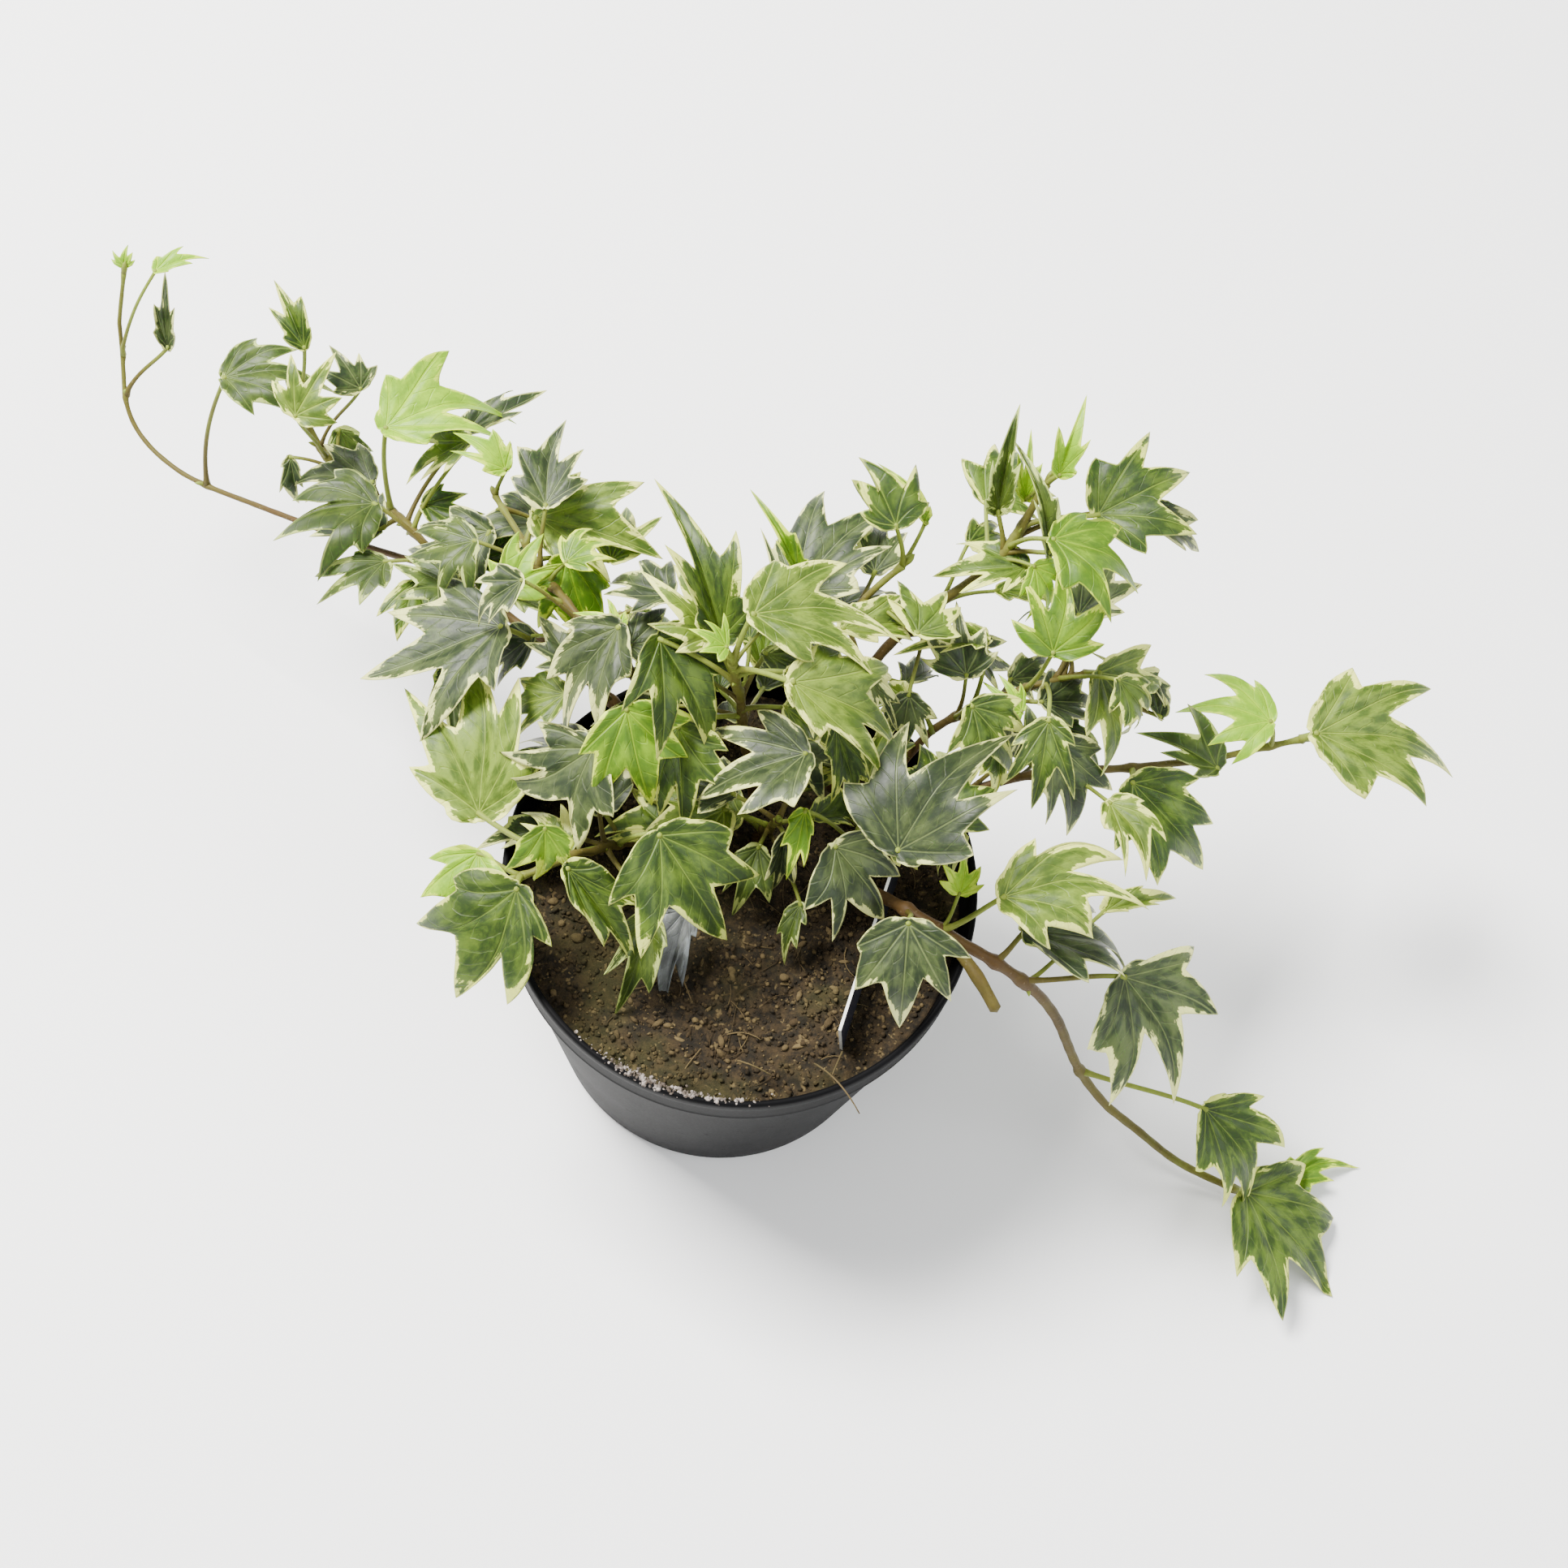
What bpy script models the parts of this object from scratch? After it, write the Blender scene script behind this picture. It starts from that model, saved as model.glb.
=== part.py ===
"""A variegated ivy growing in a round black grower's pot, with its soil and a plain label card.

The plant stands in the pot with its origin at the centre of the pot's base, on the surface.
+X is to the plant's right, +Y to its back, +Z up.  Lengths are written in millimetres and
turned into metres by MM.
"""
import math
from collections import namedtuple

import bmesh
import bpy
from mathutils import Matrix, Vector
from mathutils.bvhtree import BVHTree

MM = 0.001

# ---- the pot ---------------------------------------------------------------------------------
POT_HEIGHT = 95.0
RIM_RADIUS = 60.0
BASE_RADIUS = 45.7
WALL = 1.3
FLOOR = 1.8
BAND_HEIGHT = 12.0
BAND_STEP = 1.6
TURN_STEPS = 48
HOLE_COUNT = 8
HOLE_RADIUS = 4.0
HOLE_RING_RADIUS = 33.0
GAP = 0.3

# ---- the soil and the label ------------------------------------------------------------------
SOIL_DEPTH_BELOW_RIM = 10.5
SOIL_CROWN = 1.6
LABEL_LENGTH = 50.0
LABEL_HEIGHT = 34.0
LABEL_THICKNESS = 0.8
LABEL_CENTRE = (31.0, -18.0)
LABEL_TOP = 97.0
LABEL_BEARING = 70.0
LABEL_LEAN = 8.0

# ---- leaves and stems ------------------------------------------------------------------------
BLADE_THICKNESS = 0.7
BLADE_CLEARANCE = 1.6
PETIOLE_RADIUS = 0.7
SEPARATE_LEAF_LENGTH = 25.0
STEM_STEP = 9.0
STEM_TIP_SHARE = 0.6
STEM_START_ABOVE_SOIL = 1.3
LOWEST_LEAF = 0.4
LIFT_STEP = 2
MOST_LIFT = 22
MOST_DROP = 10
SWING_STEP = 8
MOST_SWING = 56

# Half of an ivy blade's outline, from the tip round to the notch at the stalk:
# angle from the midrib in degrees, reach as a share of the leaf's length.
OUTLINE = [(0, 1.0), (11, 0.74), (21, 0.56), (36, 0.80), (52, 0.58),
           (70, 0.50), (92, 0.27), (125, 0.13), (180, 0.06)]

# width, fold along the midrib, droop of the lobes; all as shares of the length
FORMS = {
    "broad": (1.10, 0.14, 0.16),
    "plain": (0.88, 0.20, 0.20),
    "slim": (0.62, 0.42, 0.24),
    "curled": (0.42, 0.85, 0.30),
}

TONES = {
    "deep": (0.165, 0.215, 0.150),
    "mid": (0.150, 0.245, 0.085),
    "pale": (0.330, 0.400, 0.220),
    "fresh": (0.270, 0.400, 0.090),
    "lime": (0.420, 0.560, 0.130),
    "dull": (0.190, 0.230, 0.110),
}

# at: how far along the stem the stalk starts, 0 at the soil and 1 at the tip
# reach, toward, rise: the stalk's length in mm, compass bearing and climb in degrees
# bearing, pitch, length: the blade's own compass bearing, climb and length
Leaf = namedtuple("Leaf", "at reach toward rise bearing pitch length form tone")
Shoot = namedtuple("Shoot", "name radius route leaves")

# Routes are in mm and start at the soil, whose height the first point takes.
SHOOTS = [
    Shoot("centre", 1.8, [(5, 25), (0, 30, 118), (-5, 32, 150)], [
        Leaf(0.95, 19, -35, 35, -15, -15, 34, "plain", "pale"),
        Leaf(1.00, 12, 45, 55, 5, -5, 36, "plain", "pale"),
        Leaf(0.90, 15, -15, 35, -35, -30, 20, "plain", "pale"),
        Leaf(1.00, 8, 180, 75, 160, 40, 10, "broad", "lime"),
        Leaf(0.85, 22, 160, 25, -50, -30, 32, "broad", "mid"),
        Leaf(0.60, 20, -160, 30, -85, -30, 28, "plain", "mid"),
        Leaf(0.95, 8, 120, 40, 110, 45, 36, "slim", "mid"),
        Leaf(0.80, 13, 130, 40, 140, 35, 22, "plain", "pale"),
        Leaf(0.98, 18, 50, 10, 105, 30, 10, "broad", "lime"),
    ]),
    Shoot("back", 1.6, [(20, 35), (20, 45, 114), (28, 56, 134), (38, 62, 144)], [
        Leaf(0.45, 22, -85, 30, -65, -35, 25, "slim", "mid"),
        Leaf(0.60, 26, 130, 60, 110, 55, 21, "curled", "fresh"),
        Leaf(1.00, 14, 130, 70, 120, 35, 18, "broad", "mid"),
        Leaf(1.00, 12, 60, 20, 130, 55, 16, "curled", "fresh"),
        Leaf(0.60, 17, 110, 30, 25, 20, 36, "plain", "deep"),
        Leaf(0.50, 18, 170, 50, 95, 50, 22, "curled", "deep"),
        Leaf(0.70, 12, -110, 55, 10, 0, 27, "slim", "pale"),
    ]),
    Shoot("top_right", 1.9, [(25, 30), (32, 48, 112), (48, 58, 130), (62, 64, 144),
                             (72, 76, 160)], [
        Leaf(0.74, 14, -10, 50, 180, 0, 22, "plain", "mid"),
        Leaf(0.78, 14, -30, 50, -45, -30, 13, "broad", "lime"),
        Leaf(0.80, 11, 105, 45, 85, 60, 25, "curled", "dull"),
        Leaf(0.80, 12, 0, 30, 120, 55, 25, "curled", "dull"),
        Leaf(1.00, 5, 200, 40, 110, 60, 15, "slim", "lime"),
        Leaf(1.00, 5, 0, 60, 70, 65, 18, "slim", "lime"),
        Leaf(0.88, 19, 5, 10, 25, 15, 28, "broad", "mid"),
        Leaf(0.82, 23, -30, 60, 15, -5, 25, "broad", "fresh"),
        Leaf(0.85, 32, 15, 0, -15, -20, 26, "slim", "deep"),
    ]),
    Shoot("right_inner", 1.4, [(35, 25), (50, 35, 108), (70, 40, 120), (90, 45, 120),
                               (100, 40, 112)], [
        Leaf(0.80, 8, -60, 60, -30, -35, 28, "broad", "pale"),
        Leaf(1.00, 9, -5, -20, 135, 40, 22, "curled", "deep"),
        Leaf(0.95, 8, 45, 20, -25, -35, 17, "slim", "deep"),
        Leaf(0.62, 18, 0, 80, 70, 40, 21, "broad", "fresh"),
        Leaf(0.55, 8, -60, 30, 155, 35, 11, "broad", "lime"),
        Leaf(0.50, 16, -10, 35, 10, -15, 23, "plain", "deep"),
        Leaf(0.40, 24, -90, 70, -40, -25, 22, "broad", "mid"),
        Leaf(0.40, 16, 90, 75, 110, 40, 17, "broad", "deep"),
        Leaf(0.45, 20, 80, 55, 180, 5, 22, "slim", "pale"),
    ]),
    Shoot("right_arm", 1.6, [(40, 15), (55, 20, 100), (75, 24, 104), (100, 30, 95),
                             (125, 35, 90), (150, 40, 92)], [
        Leaf(1.00, 5, 0, 50, 0, 0, 44, "plain", "pale"),
        Leaf(0.93, 13, 160, 75, 160, 10, 21, "broad", "lime"),
        Leaf(0.80, 6, -90, 50, 160, 30, 20, "plain", "dull"),
        Leaf(0.60, 8, -100, 35, -40, -20, 35, "plain", "mid"),
        Leaf(0.36, 14, 60, 75, -65, -30, 27, "plain", "deep"),
        Leaf(0.38, 19, 80, 60, -25, -20, 22, "slim", "dull"),
        Leaf(0.12, 20, -70, 45, -145, -35, 14, "plain", "deep"),
    ]),
    Shoot("front_right", 1.6, [(30, 15), (26, 8, 100), (34, 0, 112)], [
        Leaf(0.60, 28, -145, 60, -80, -30, 18, "slim", "fresh"),
        Leaf(0.70, 19, -135, 55, -40, -30, 26, "broad", "deep"),
        Leaf(1.00, 28, -90, 70, 55, 35, 34, "broad", "deep"),
        Leaf(0.90, 18, -15, 45, 30, 10, 24, "broad", "mid"),
    ]),
    Shoot("trail", 1.9, [(25, 5), (35, -8, 100), (46, -18, 106), (65, -27, 99),
                         (80, -31, 78), (96, -38, 42), (122, -50, 14), (140, -57, 6),
                         (152, -61, 5)], [
        Leaf(0.15, 23, -105, 60, -95, -25, 26, "broad", "deep"),
        Leaf(0.20, 21, 10, 50, 15, 10, 34, "plain", "pale"),
        Leaf(0.34, 30, 40, 25, 15, 10, 20, "curled", "pale"),
        Leaf(0.20, 11, 60, 45, 75, 40, 10, "broad", "lime"),
        Leaf(0.28, 11, 40, 30, 0, -10, 35, "plain", "deep"),
        Leaf(0.33, 28, 5, -10, -45, -25, 36, "broad", "deep"),
        Leaf(0.60, 36, -15, -10, -40, -25, 36, "plain", "mid"),
        Leaf(0.95, 13, -90, 70, -40, -15, 42, "broad", "mid"),
        Leaf(1.00, 12, 20, 60, 5, 5, 24, "slim", "fresh"),
    ]),
    Shoot("front", 1.6, [(5, 15), (8, 8, 112)], [
        Leaf(1.00, 22, 65, 65, -160, -10, 28, "broad", "deep"),
        Leaf(0.95, 16, 170, 40, 175, -5, 22, "plain", "deep"),
        Leaf(0.60, 8, -115, 20, -110, -20, 18, "plain", "dull"),
        Leaf(0.50, 22, -70, 0, -115, -25, 16, "slim", "dull"),
        Leaf(0.90, 6, -70, 30, -95, -40, 18, "slim", "deep"),
    ]),
    Shoot("front_left", 1.6, [(-17, 15), (-30, 8, 98), (-42, 0, 108), (-55, -5, 108)], [
        Leaf(0.40, 32, -50, 65, -50, -30, 34, "broad", "mid"),
        Leaf(0.75, 12, -95, 55, -45, -25, 32, "slim", "mid"),
        Leaf(0.50, 21, -60, 10, -105, -25, 28, "slim", "dull"),
        Leaf(1.00, 7, -100, 40, -110, -30, 32, "broad", "mid"),
        Leaf(0.90, 16, 60, 75, -105, -40, 15, "broad", "fresh"),
        Leaf(1.00, 12, 150, 0, -120, -20, 21, "broad", "lime"),
        Leaf(0.30, 19, -25, 55, 150, 5, 20, "plain", "mid"),
        Leaf(0.78, 26, 145, -10, 85, 30, 42, "plain", "pale"),
    ]),
    Shoot("left_arm", 1.7, [(-12, 24), (-28, 40, 104), (-50, 58, 110), (-70, 80, 102),
                            (-90, 108, 90), (-108, 128, 84), (-118, 145, 92)], [
        Leaf(0.30, 16, 170, 20, -165, -15, 38, "broad", "deep"),
        Leaf(0.20, 18, 165, 55, 125, 15, 16, "broad", "deep"),
        Leaf(0.95, 28, 90, 80, 140, 35, 19, "slim", "mid"),
        Leaf(0.88, 27, -150, 75, 50, 40, 18, "broad", "pale"),
        Leaf(0.90, 26, 20, 60, 130, 40, 13, "broad", "deep"),
        Leaf(0.72, 30, 90, 75, 25, 10, 32, "plain", "lime"),
        Leaf(0.85, 15, 90, 50, -60, -40, 14, "plain", "dull"),
        Leaf(0.68, 29, 55, 20, 25, 25, 24, "slim", "deep"),
        Leaf(0.66, 30, 45, 45, -160, -15, 20, "plain", "pale"),
        Leaf(0.75, 6, 120, 45, 165, -5, 25, "plain", "deep"),
        Leaf(0.70, 6, -150, -10, 160, -5, 23, "plain", "deep"),
        Leaf(0.66, 8, 60, 40, -10, 0, 16, "plain", "mid"),
        Leaf(0.52, 12, 50, 15, -170, -20, 28, "plain", "deep"),
        Leaf(0.50, 12, -60, 20, -95, -35, 26, "slim", "deep"),
        Leaf(0.85, 14, 170, 20, -80, -40, 14, "slim", "deep"),
    ]),
    Shoot("upper_left", 1.4, [(-8, 38), (-26, 43, 118), (-42, 58, 125), (-52, 78, 118),
                              (-62, 100, 112)], [
        Leaf(0.36, 20, 150, 75, -140, -30, 32, "plain", "deep"),
        Leaf(0.33, 32, -105, 55, -75, -35, 26, "broad", "fresh"),
        Leaf(0.30, 34, -115, 40, -150, -30, 28, "broad", "deep"),
        Leaf(0.45, 14, 0, 80, 140, 25, 11, "broad", "lime"),
        Leaf(0.50, 22, 20, 20, 155, -10, 21, "plain", "deep"),
        Leaf(0.82, 8, 70, 15, -15, 5, 33, "plain", "pale"),
        Leaf(0.70, 7, 50, 30, -55, -30, 24, "plain", "fresh"),
        Leaf(0.68, 9, 20, 60, 40, 20, 13, "broad", "fresh"),
        Leaf(0.60, 14, 170, 10, 65, 30, 16, "broad", "lime"),
        Leaf(0.65, 18, 160, -50, 5, 5, 15, "plain", "dull"),
        Leaf(1.00, 10, 40, 70, 140, 30, 15, "plain", "lime"),
        Leaf(0.95, 12, -5, -20, 155, -5, 26, "plain", "deep"),
    ]),
    Shoot("far_left", 1.1, [(-73, 86, 97), (-95, 100, 84), (-125, 120, 70), (-152, 138, 62),
                            (-165, 152, 65), (-167, 168, 80), (-164, 178, 98)], [
        Leaf(0.55, 40, 50, 70, 5, 15, 27, "plain", "dull"),
        Leaf(0.85, 31, 35, 60, 25, 15, 14, "slim", "lime"),
        Leaf(0.78, 21, 25, 45, 95, 45, 24, "curled", "deep"),
        Leaf(1.00, 2, 70, 60, 70, 60, 6, "broad", "lime"),
    ]),
]


# ---- small helpers ---------------------------------------------------------------------------
def clear_scene():
    """Remove whatever objects the file opens with."""
    for thing in list(bpy.data.objects):
        bpy.data.objects.remove(thing, do_unlink=True)


def new_collection(name):
    collection = bpy.data.collections.new(name)
    bpy.context.scene.collection.children.link(collection)
    return collection


def new_material(name, colour, roughness, metallic=0.0):
    material = bpy.data.materials.new(name)
    material.use_nodes = True
    shader = material.node_tree.nodes["Principled BSDF"]
    shader.inputs["Base Color"].default_value = (*colour, 1.0)
    shader.inputs["Roughness"].default_value = roughness
    shader.inputs["Metallic"].default_value = metallic
    return material


def new_object(name, mesh, collection, material=None):
    thing = bpy.data.objects.new(name, mesh)
    collection.objects.link(thing)
    if material is not None:
        mesh.materials.clear()
        mesh.materials.append(material)
    return thing


def baked_mesh(thing, name):
    """The object's mesh with its modifiers applied, its loose ends welded and its faces out."""
    graph = bpy.context.evaluated_depsgraph_get()
    mesh = bpy.data.meshes.new_from_object(thing.evaluated_get(graph))
    mesh.name = name
    shape = bmesh.new()
    shape.from_mesh(mesh)
    bmesh.ops.remove_doubles(shape, verts=shape.verts, dist=0.01 * MM)
    bmesh.ops.recalc_face_normals(shape, faces=shape.faces)
    shape.to_mesh(mesh)
    shape.free()
    return mesh


def joined(base, others, name, collection, material):
    """One solid made of a base object and the others, by Boolean union; the sources go."""
    for other in others:
        union = base.modifiers.new("join", "BOOLEAN")
        union.operation = "UNION"
        union.solver = "EXACT"
        union.object = other
    mesh = baked_mesh(base, name)
    for source in [base, *others]:
        bpy.data.objects.remove(source, do_unlink=True)
    return new_object(name, mesh, collection, material)


def compass(bearing, rise):
    """The unit vector at a compass bearing from +X and a climb, both in degrees."""
    turn, climb = math.radians(bearing), math.radians(rise)
    return Vector((math.cos(turn) * math.cos(climb), math.sin(turn) * math.cos(climb),
                   math.sin(climb)))


# ---- the pot, the soil and the label ---------------------------------------------------------
def turned(name, profile, collection, material):
    """A solid turned about +Z from a profile that starts and ends on the axis."""
    mesh = bpy.data.meshes.new(name)
    points = [(radius * MM, 0.0, height * MM) for radius, height in profile]
    edges = [(i, i + 1) for i in range(len(points) - 1)]
    mesh.from_pydata(points, edges, [])
    thing = new_object(name, mesh, collection, material)
    screw = thing.modifiers.new("turn", "SCREW")
    screw.steps = TURN_STEPS
    screw.render_steps = TURN_STEPS
    screw.use_merge_vertices = True
    screw.merge_threshold = 0.00001
    screw.use_smooth_shade = True
    return thing


def outer_radius(height):
    """The pot body's outside radius below the rim band."""
    top = POT_HEIGHT - BAND_HEIGHT
    return BASE_RADIUS + (RIM_RADIUS - BAND_STEP - BASE_RADIUS) * height / top


def soil_height(x, y):
    """The soil's top at a place: a low crown that falls towards the wall."""
    edge = POT_HEIGHT - SOIL_DEPTH_BELOW_RIM - SOIL_CROWN
    share = math.hypot(x, y) / (outer_radius(edge) - WALL)
    return edge + SOIL_CROWN * (1.0 - min(share, 1.0) ** 2)


def make_pot(collection, cutters):
    band = POT_HEIGHT - BAND_HEIGHT
    profile = [
        (0.0, FLOOR), (outer_radius(FLOOR) - WALL, FLOOR),
        (outer_radius(band) - WALL, band), (RIM_RADIUS - 1.5, POT_HEIGHT - 1.5),
        (RIM_RADIUS - 1.2, POT_HEIGHT - 0.3), (RIM_RADIUS - 0.6, POT_HEIGHT),
        (RIM_RADIUS - 0.1, POT_HEIGHT - 0.5), (RIM_RADIUS, POT_HEIGHT - 1.5),
        (RIM_RADIUS - 0.4, band + 1.0), (RIM_RADIUS - 0.7, band),
        (outer_radius(band - 0.8), band - 0.8), (outer_radius(2.0), 2.0),
        (BASE_RADIUS - 1.2, 0.0), (0.0, 0.0),
    ]
    material = new_material("black_plastic", (0.018, 0.018, 0.020), 0.42)
    pot = turned("pot", profile, collection, material)
    for index in range(HOLE_COUNT):
        turn = 2.0 * math.pi * (index + 0.5) / HOLE_COUNT
        bpy.ops.mesh.primitive_cylinder_add(
            vertices=12, radius=HOLE_RADIUS * MM, depth=4.0 * FLOOR * MM,
            location=(HOLE_RING_RADIUS * MM * math.cos(turn),
                      HOLE_RING_RADIUS * MM * math.sin(turn), 0.0))
        cutter = as_cutter(bpy.context.object, f"drain_cutter_{index}", cutters)
        hole = pot.modifiers.new("drain", "BOOLEAN")
        hole.operation = "DIFFERENCE"
        hole.solver = "EXACT"
        hole.object = cutter
    return pot


def as_cutter(thing, name, cutters):
    """Put a cutting shape in the cutters' collection, shown as wires only."""
    thing.name = name
    for owner in list(thing.users_collection):
        owner.objects.unlink(thing)
    cutters.objects.link(thing)
    thing.hide_render = True
    thing.display_type = "WIRE"
    return thing


def make_soil(collection, cutters):
    edge = POT_HEIGHT - SOIL_DEPTH_BELOW_RIM - SOIL_CROWN
    radius = outer_radius(edge) - WALL - 2.0 * GAP
    rings = [0.0, 0.3, 0.55, 0.8, 1.0]
    top = [(radius * share, soil_height(radius * share, 0.0)) for share in rings]
    floor = FLOOR + GAP
    profile = top + [(outer_radius(floor) - WALL - 2.0 * GAP, floor), (0.0, floor)]
    material = new_material("peat", (0.075, 0.050, 0.032), 0.95)
    soil = turned("soil", profile, collection, material)
    slot = label_block("label_slot_cutter", 2.0 * GAP)
    as_cutter(slot, "label_slot_cutter", cutters)
    cut = soil.modifiers.new("label slot", "BOOLEAN")
    cut.operation = "DIFFERENCE"
    cut.solver = "EXACT"
    cut.object = slot
    return soil


def label_block(name, growth):
    """The label's block, standing on its long edge and leaning to the left, grown all round."""
    bpy.ops.mesh.primitive_cube_add(size=1.0)
    block = bpy.context.object
    block.name = name
    size = Matrix.Diagonal(((LABEL_LENGTH + growth) * MM, (LABEL_THICKNESS + growth) * MM,
                            (LABEL_HEIGHT + growth) * MM, 1.0))
    hang = Matrix.Translation((0.0, 0.0, -0.5 * LABEL_HEIGHT * MM))
    lean = Matrix.Rotation(math.radians(-LABEL_LEAN), 4, "X")
    turn = Matrix.Rotation(math.radians(LABEL_BEARING), 4, "Z")
    place = Matrix.Translation((LABEL_CENTRE[0] * MM, LABEL_CENTRE[1] * MM, LABEL_TOP * MM))
    block.data.transform(place @ turn @ lean @ hang @ size)
    return block


def make_label(collection):
    label = label_block("plant_label", 0.0)
    for owner in list(label.users_collection):
        owner.objects.unlink(label)
    collection.objects.link(label)
    label.data.materials.append(new_material("dark_card", (0.05, 0.05, 0.055), 0.55))
    return label


# ---- stems -----------------------------------------------------------------------------------
def smooth_route(points):
    """A smooth curve through the points, in mm, with even steps along it (Catmull-Rom)."""
    ends = [2 * points[0] - points[1], *points, 2 * points[-1] - points[-2]]
    fine = []
    for before, start, stop, after in zip(ends, ends[1:], ends[2:], ends[3:]):
        for part in range(12):
            t = part / 12
            fine.append(0.5 * (2 * start + (stop - before) * t
                               + (2 * before - 5 * start + 4 * stop - after) * t ** 2
                               + (3 * start - before - 3 * stop + after) * t ** 3))
    fine.append(points[-1])
    return fine


def point_along(fine, share):
    """The point and the direction at a share of the route's length."""
    lengths = [(b - a).length for a, b in zip(fine, fine[1:])]
    left = share * sum(lengths)
    for start, stop, length in zip(fine, fine[1:], lengths):
        if left <= length:
            return start.lerp(stop, left / length), (stop - start).normalized()
        left -= length
    return fine[-1], (fine[-1] - fine[-2]).normalized()


def shoot_route(shoot):
    """The shoot's smooth route; a first point without a height stands on the soil."""
    first = shoot.route[0]
    if len(first) == 2:
        first = (*first, soil_height(*first) + STEM_START_ABOVE_SOIL)
    return smooth_route([Vector(first), *[Vector(point) for point in shoot.route[1:]]])


def tube(name, points, radii, sides_step, collection):
    """A solid tube through points in mm, as a curve object with a bevel and filled caps."""
    curve = bpy.data.curves.new(name, "CURVE")
    curve.dimensions = "3D"
    curve.bevel_depth = 1.0 * MM
    curve.bevel_resolution = sides_step
    curve.use_fill_caps = True
    spline = curve.splines.new("POLY")
    spline.points.add(len(points) - 1)
    for slot, point, radius in zip(spline.points, points, radii):
        slot.co = (point.x * MM, point.y * MM, point.z * MM, 1.0)
        slot.radius = radius
    path = new_object(name, curve, collection)
    mesh = baked_mesh(path, name)
    bpy.data.objects.remove(path, do_unlink=True)
    return new_object(name, mesh, collection)


def make_stem(shoot, fine, collection):
    length = sum((b - a).length for a, b in zip(fine, fine[1:]))
    count = max(4, round(length / STEM_STEP))
    points = [point_along(fine, i / count)[0] for i in range(count + 1)]
    radii = [shoot.radius * (1.0 - (1.0 - STEM_TIP_SHARE) * i / count)
             for i in range(count + 1)]
    return tube(f"stem_{shoot.name}", points, radii, 1, collection)


# ---- leaves ----------------------------------------------------------------------------------
class Placing:
    """Where one leaf sits: its stalk from the stem, and its blade's own axes, all in mm."""

    def __init__(self, shoot, fine, index, lift, swing, apart):
        leaf = shoot.leaves[index]
        self.form = FORMS[leaf.form]
        self.length = leaf.length
        start, along = point_along(fine, leaf.at)
        stalk = compass(leaf.toward + swing, leaf.rise)
        self.seat = start + stalk * leaf.reach + Vector((0.0, 0.0, lift))
        away = (self.seat - start).normalized()
        if apart:
            slant = max(away.cross(along).length, 0.55)
            start = start + away * (shoot.radius + GAP + PETIOLE_RADIUS) / slant
        self.start = start
        self.ahead = compass(leaf.bearing + swing, leaf.pitch)
        side = compass(leaf.bearing + swing - 90.0, 0.0)
        roll = Matrix.Rotation(math.radians(leaf_roll(index)), 3, self.ahead)
        self.side = roll @ side
        self.up = self.side.cross(self.ahead)

    def blade_point(self, across, forward):
        """A point of the blade, folded up along the midrib and drooping to its lobes."""
        width, fold, droop = self.form
        across *= width
        height = fold * abs(across) - droop * (across ** 2 + forward ** 2)
        local = self.side * across + self.ahead * forward + self.up * height
        return self.seat + local * self.length

    def rim(self):
        """The blade's outline, tip first, round its right side and back."""
        half = [(math.sin(math.radians(turn)) * reach, math.cos(math.radians(turn)) * reach)
                for turn, reach in OUTLINE]
        other = [(-across, forward) for across, forward in reversed(half[1:-1])]
        return [self.blade_point(across, forward) for across, forward in half + other]

    def stalk_points(self):
        """The stalk bows upward a little between the stem and the blade."""
        run = self.seat - self.start
        bow = Vector((0.0, 0.0, 0.06 * run.length))
        return [self.start, self.start + run * 0.5 + bow, self.seat + run.normalized() * 0.2]


def leaf_roll(index):
    """Each leaf along a shoot is rolled a little about its midrib, turn and turn about."""
    return 12.0 * math.sin(2.4 * index + 0.7)


def rough_tree(placing):
    """A thick stand-in for a leaf, used only to find where it has room."""
    vertices, faces = [], []
    rim = placing.rim()
    count = len(rim)
    lift = placing.up * 0.5 * BLADE_CLEARANCE
    for offset in (lift, -lift):
        first = len(vertices)
        vertices += [placing.seat + offset, *[point + offset for point in rim]]
        faces += [(first, first + 1 + i, first + 1 + (i + 1) % count) for i in range(count)]
    under = count + 1
    faces += [(1 + i, 1 + (i + 1) % count, under + 1 + (i + 1) % count, under + 1 + i)
              for i in range(count)]
    stalk = placing.stalk_points()
    girth = PETIOLE_RADIUS + GAP
    across = (stalk[-1] - stalk[0]).orthogonal().normalized()
    over = (stalk[-1] - stalk[0]).cross(across).normalized()
    first = len(vertices)
    for point in stalk:
        vertices += [point + turn * girth for turn in (across, over, -across, -over)]
    faces += [(first + 4 * ring + side, first + 4 * ring + (side + 1) % 4,
               first + 4 * ring + 4 + (side + 1) % 4, first + 4 * ring + 4 + side)
              for ring in range(len(stalk) - 1) for side in range(4)]
    return BVHTree.FromPolygons(vertices, faces)


def mesh_tree(thing):
    """The object's surface as a tree in mm."""
    graph = bpy.context.evaluated_depsgraph_get()
    mesh = thing.evaluated_get(graph).to_mesh()
    vertices = [thing.matrix_world @ vertex.co / MM for vertex in mesh.vertices]
    return BVHTree.FromPolygons(vertices, [tuple(face.vertices) for face in mesh.polygons])


def adjustments():
    """Small lifts in mm and swings in degrees, the gentlest first."""
    choices = [(lift, swing) for lift in range(-MOST_DROP, MOST_LIFT + 1, LIFT_STEP)
               for swing in range(-MOST_SWING, MOST_SWING + 1, SWING_STEP)]
    return sorted(choices, key=lambda choice: (abs(choice[0]) + abs(choice[1]) / 4.0, choice))


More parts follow.
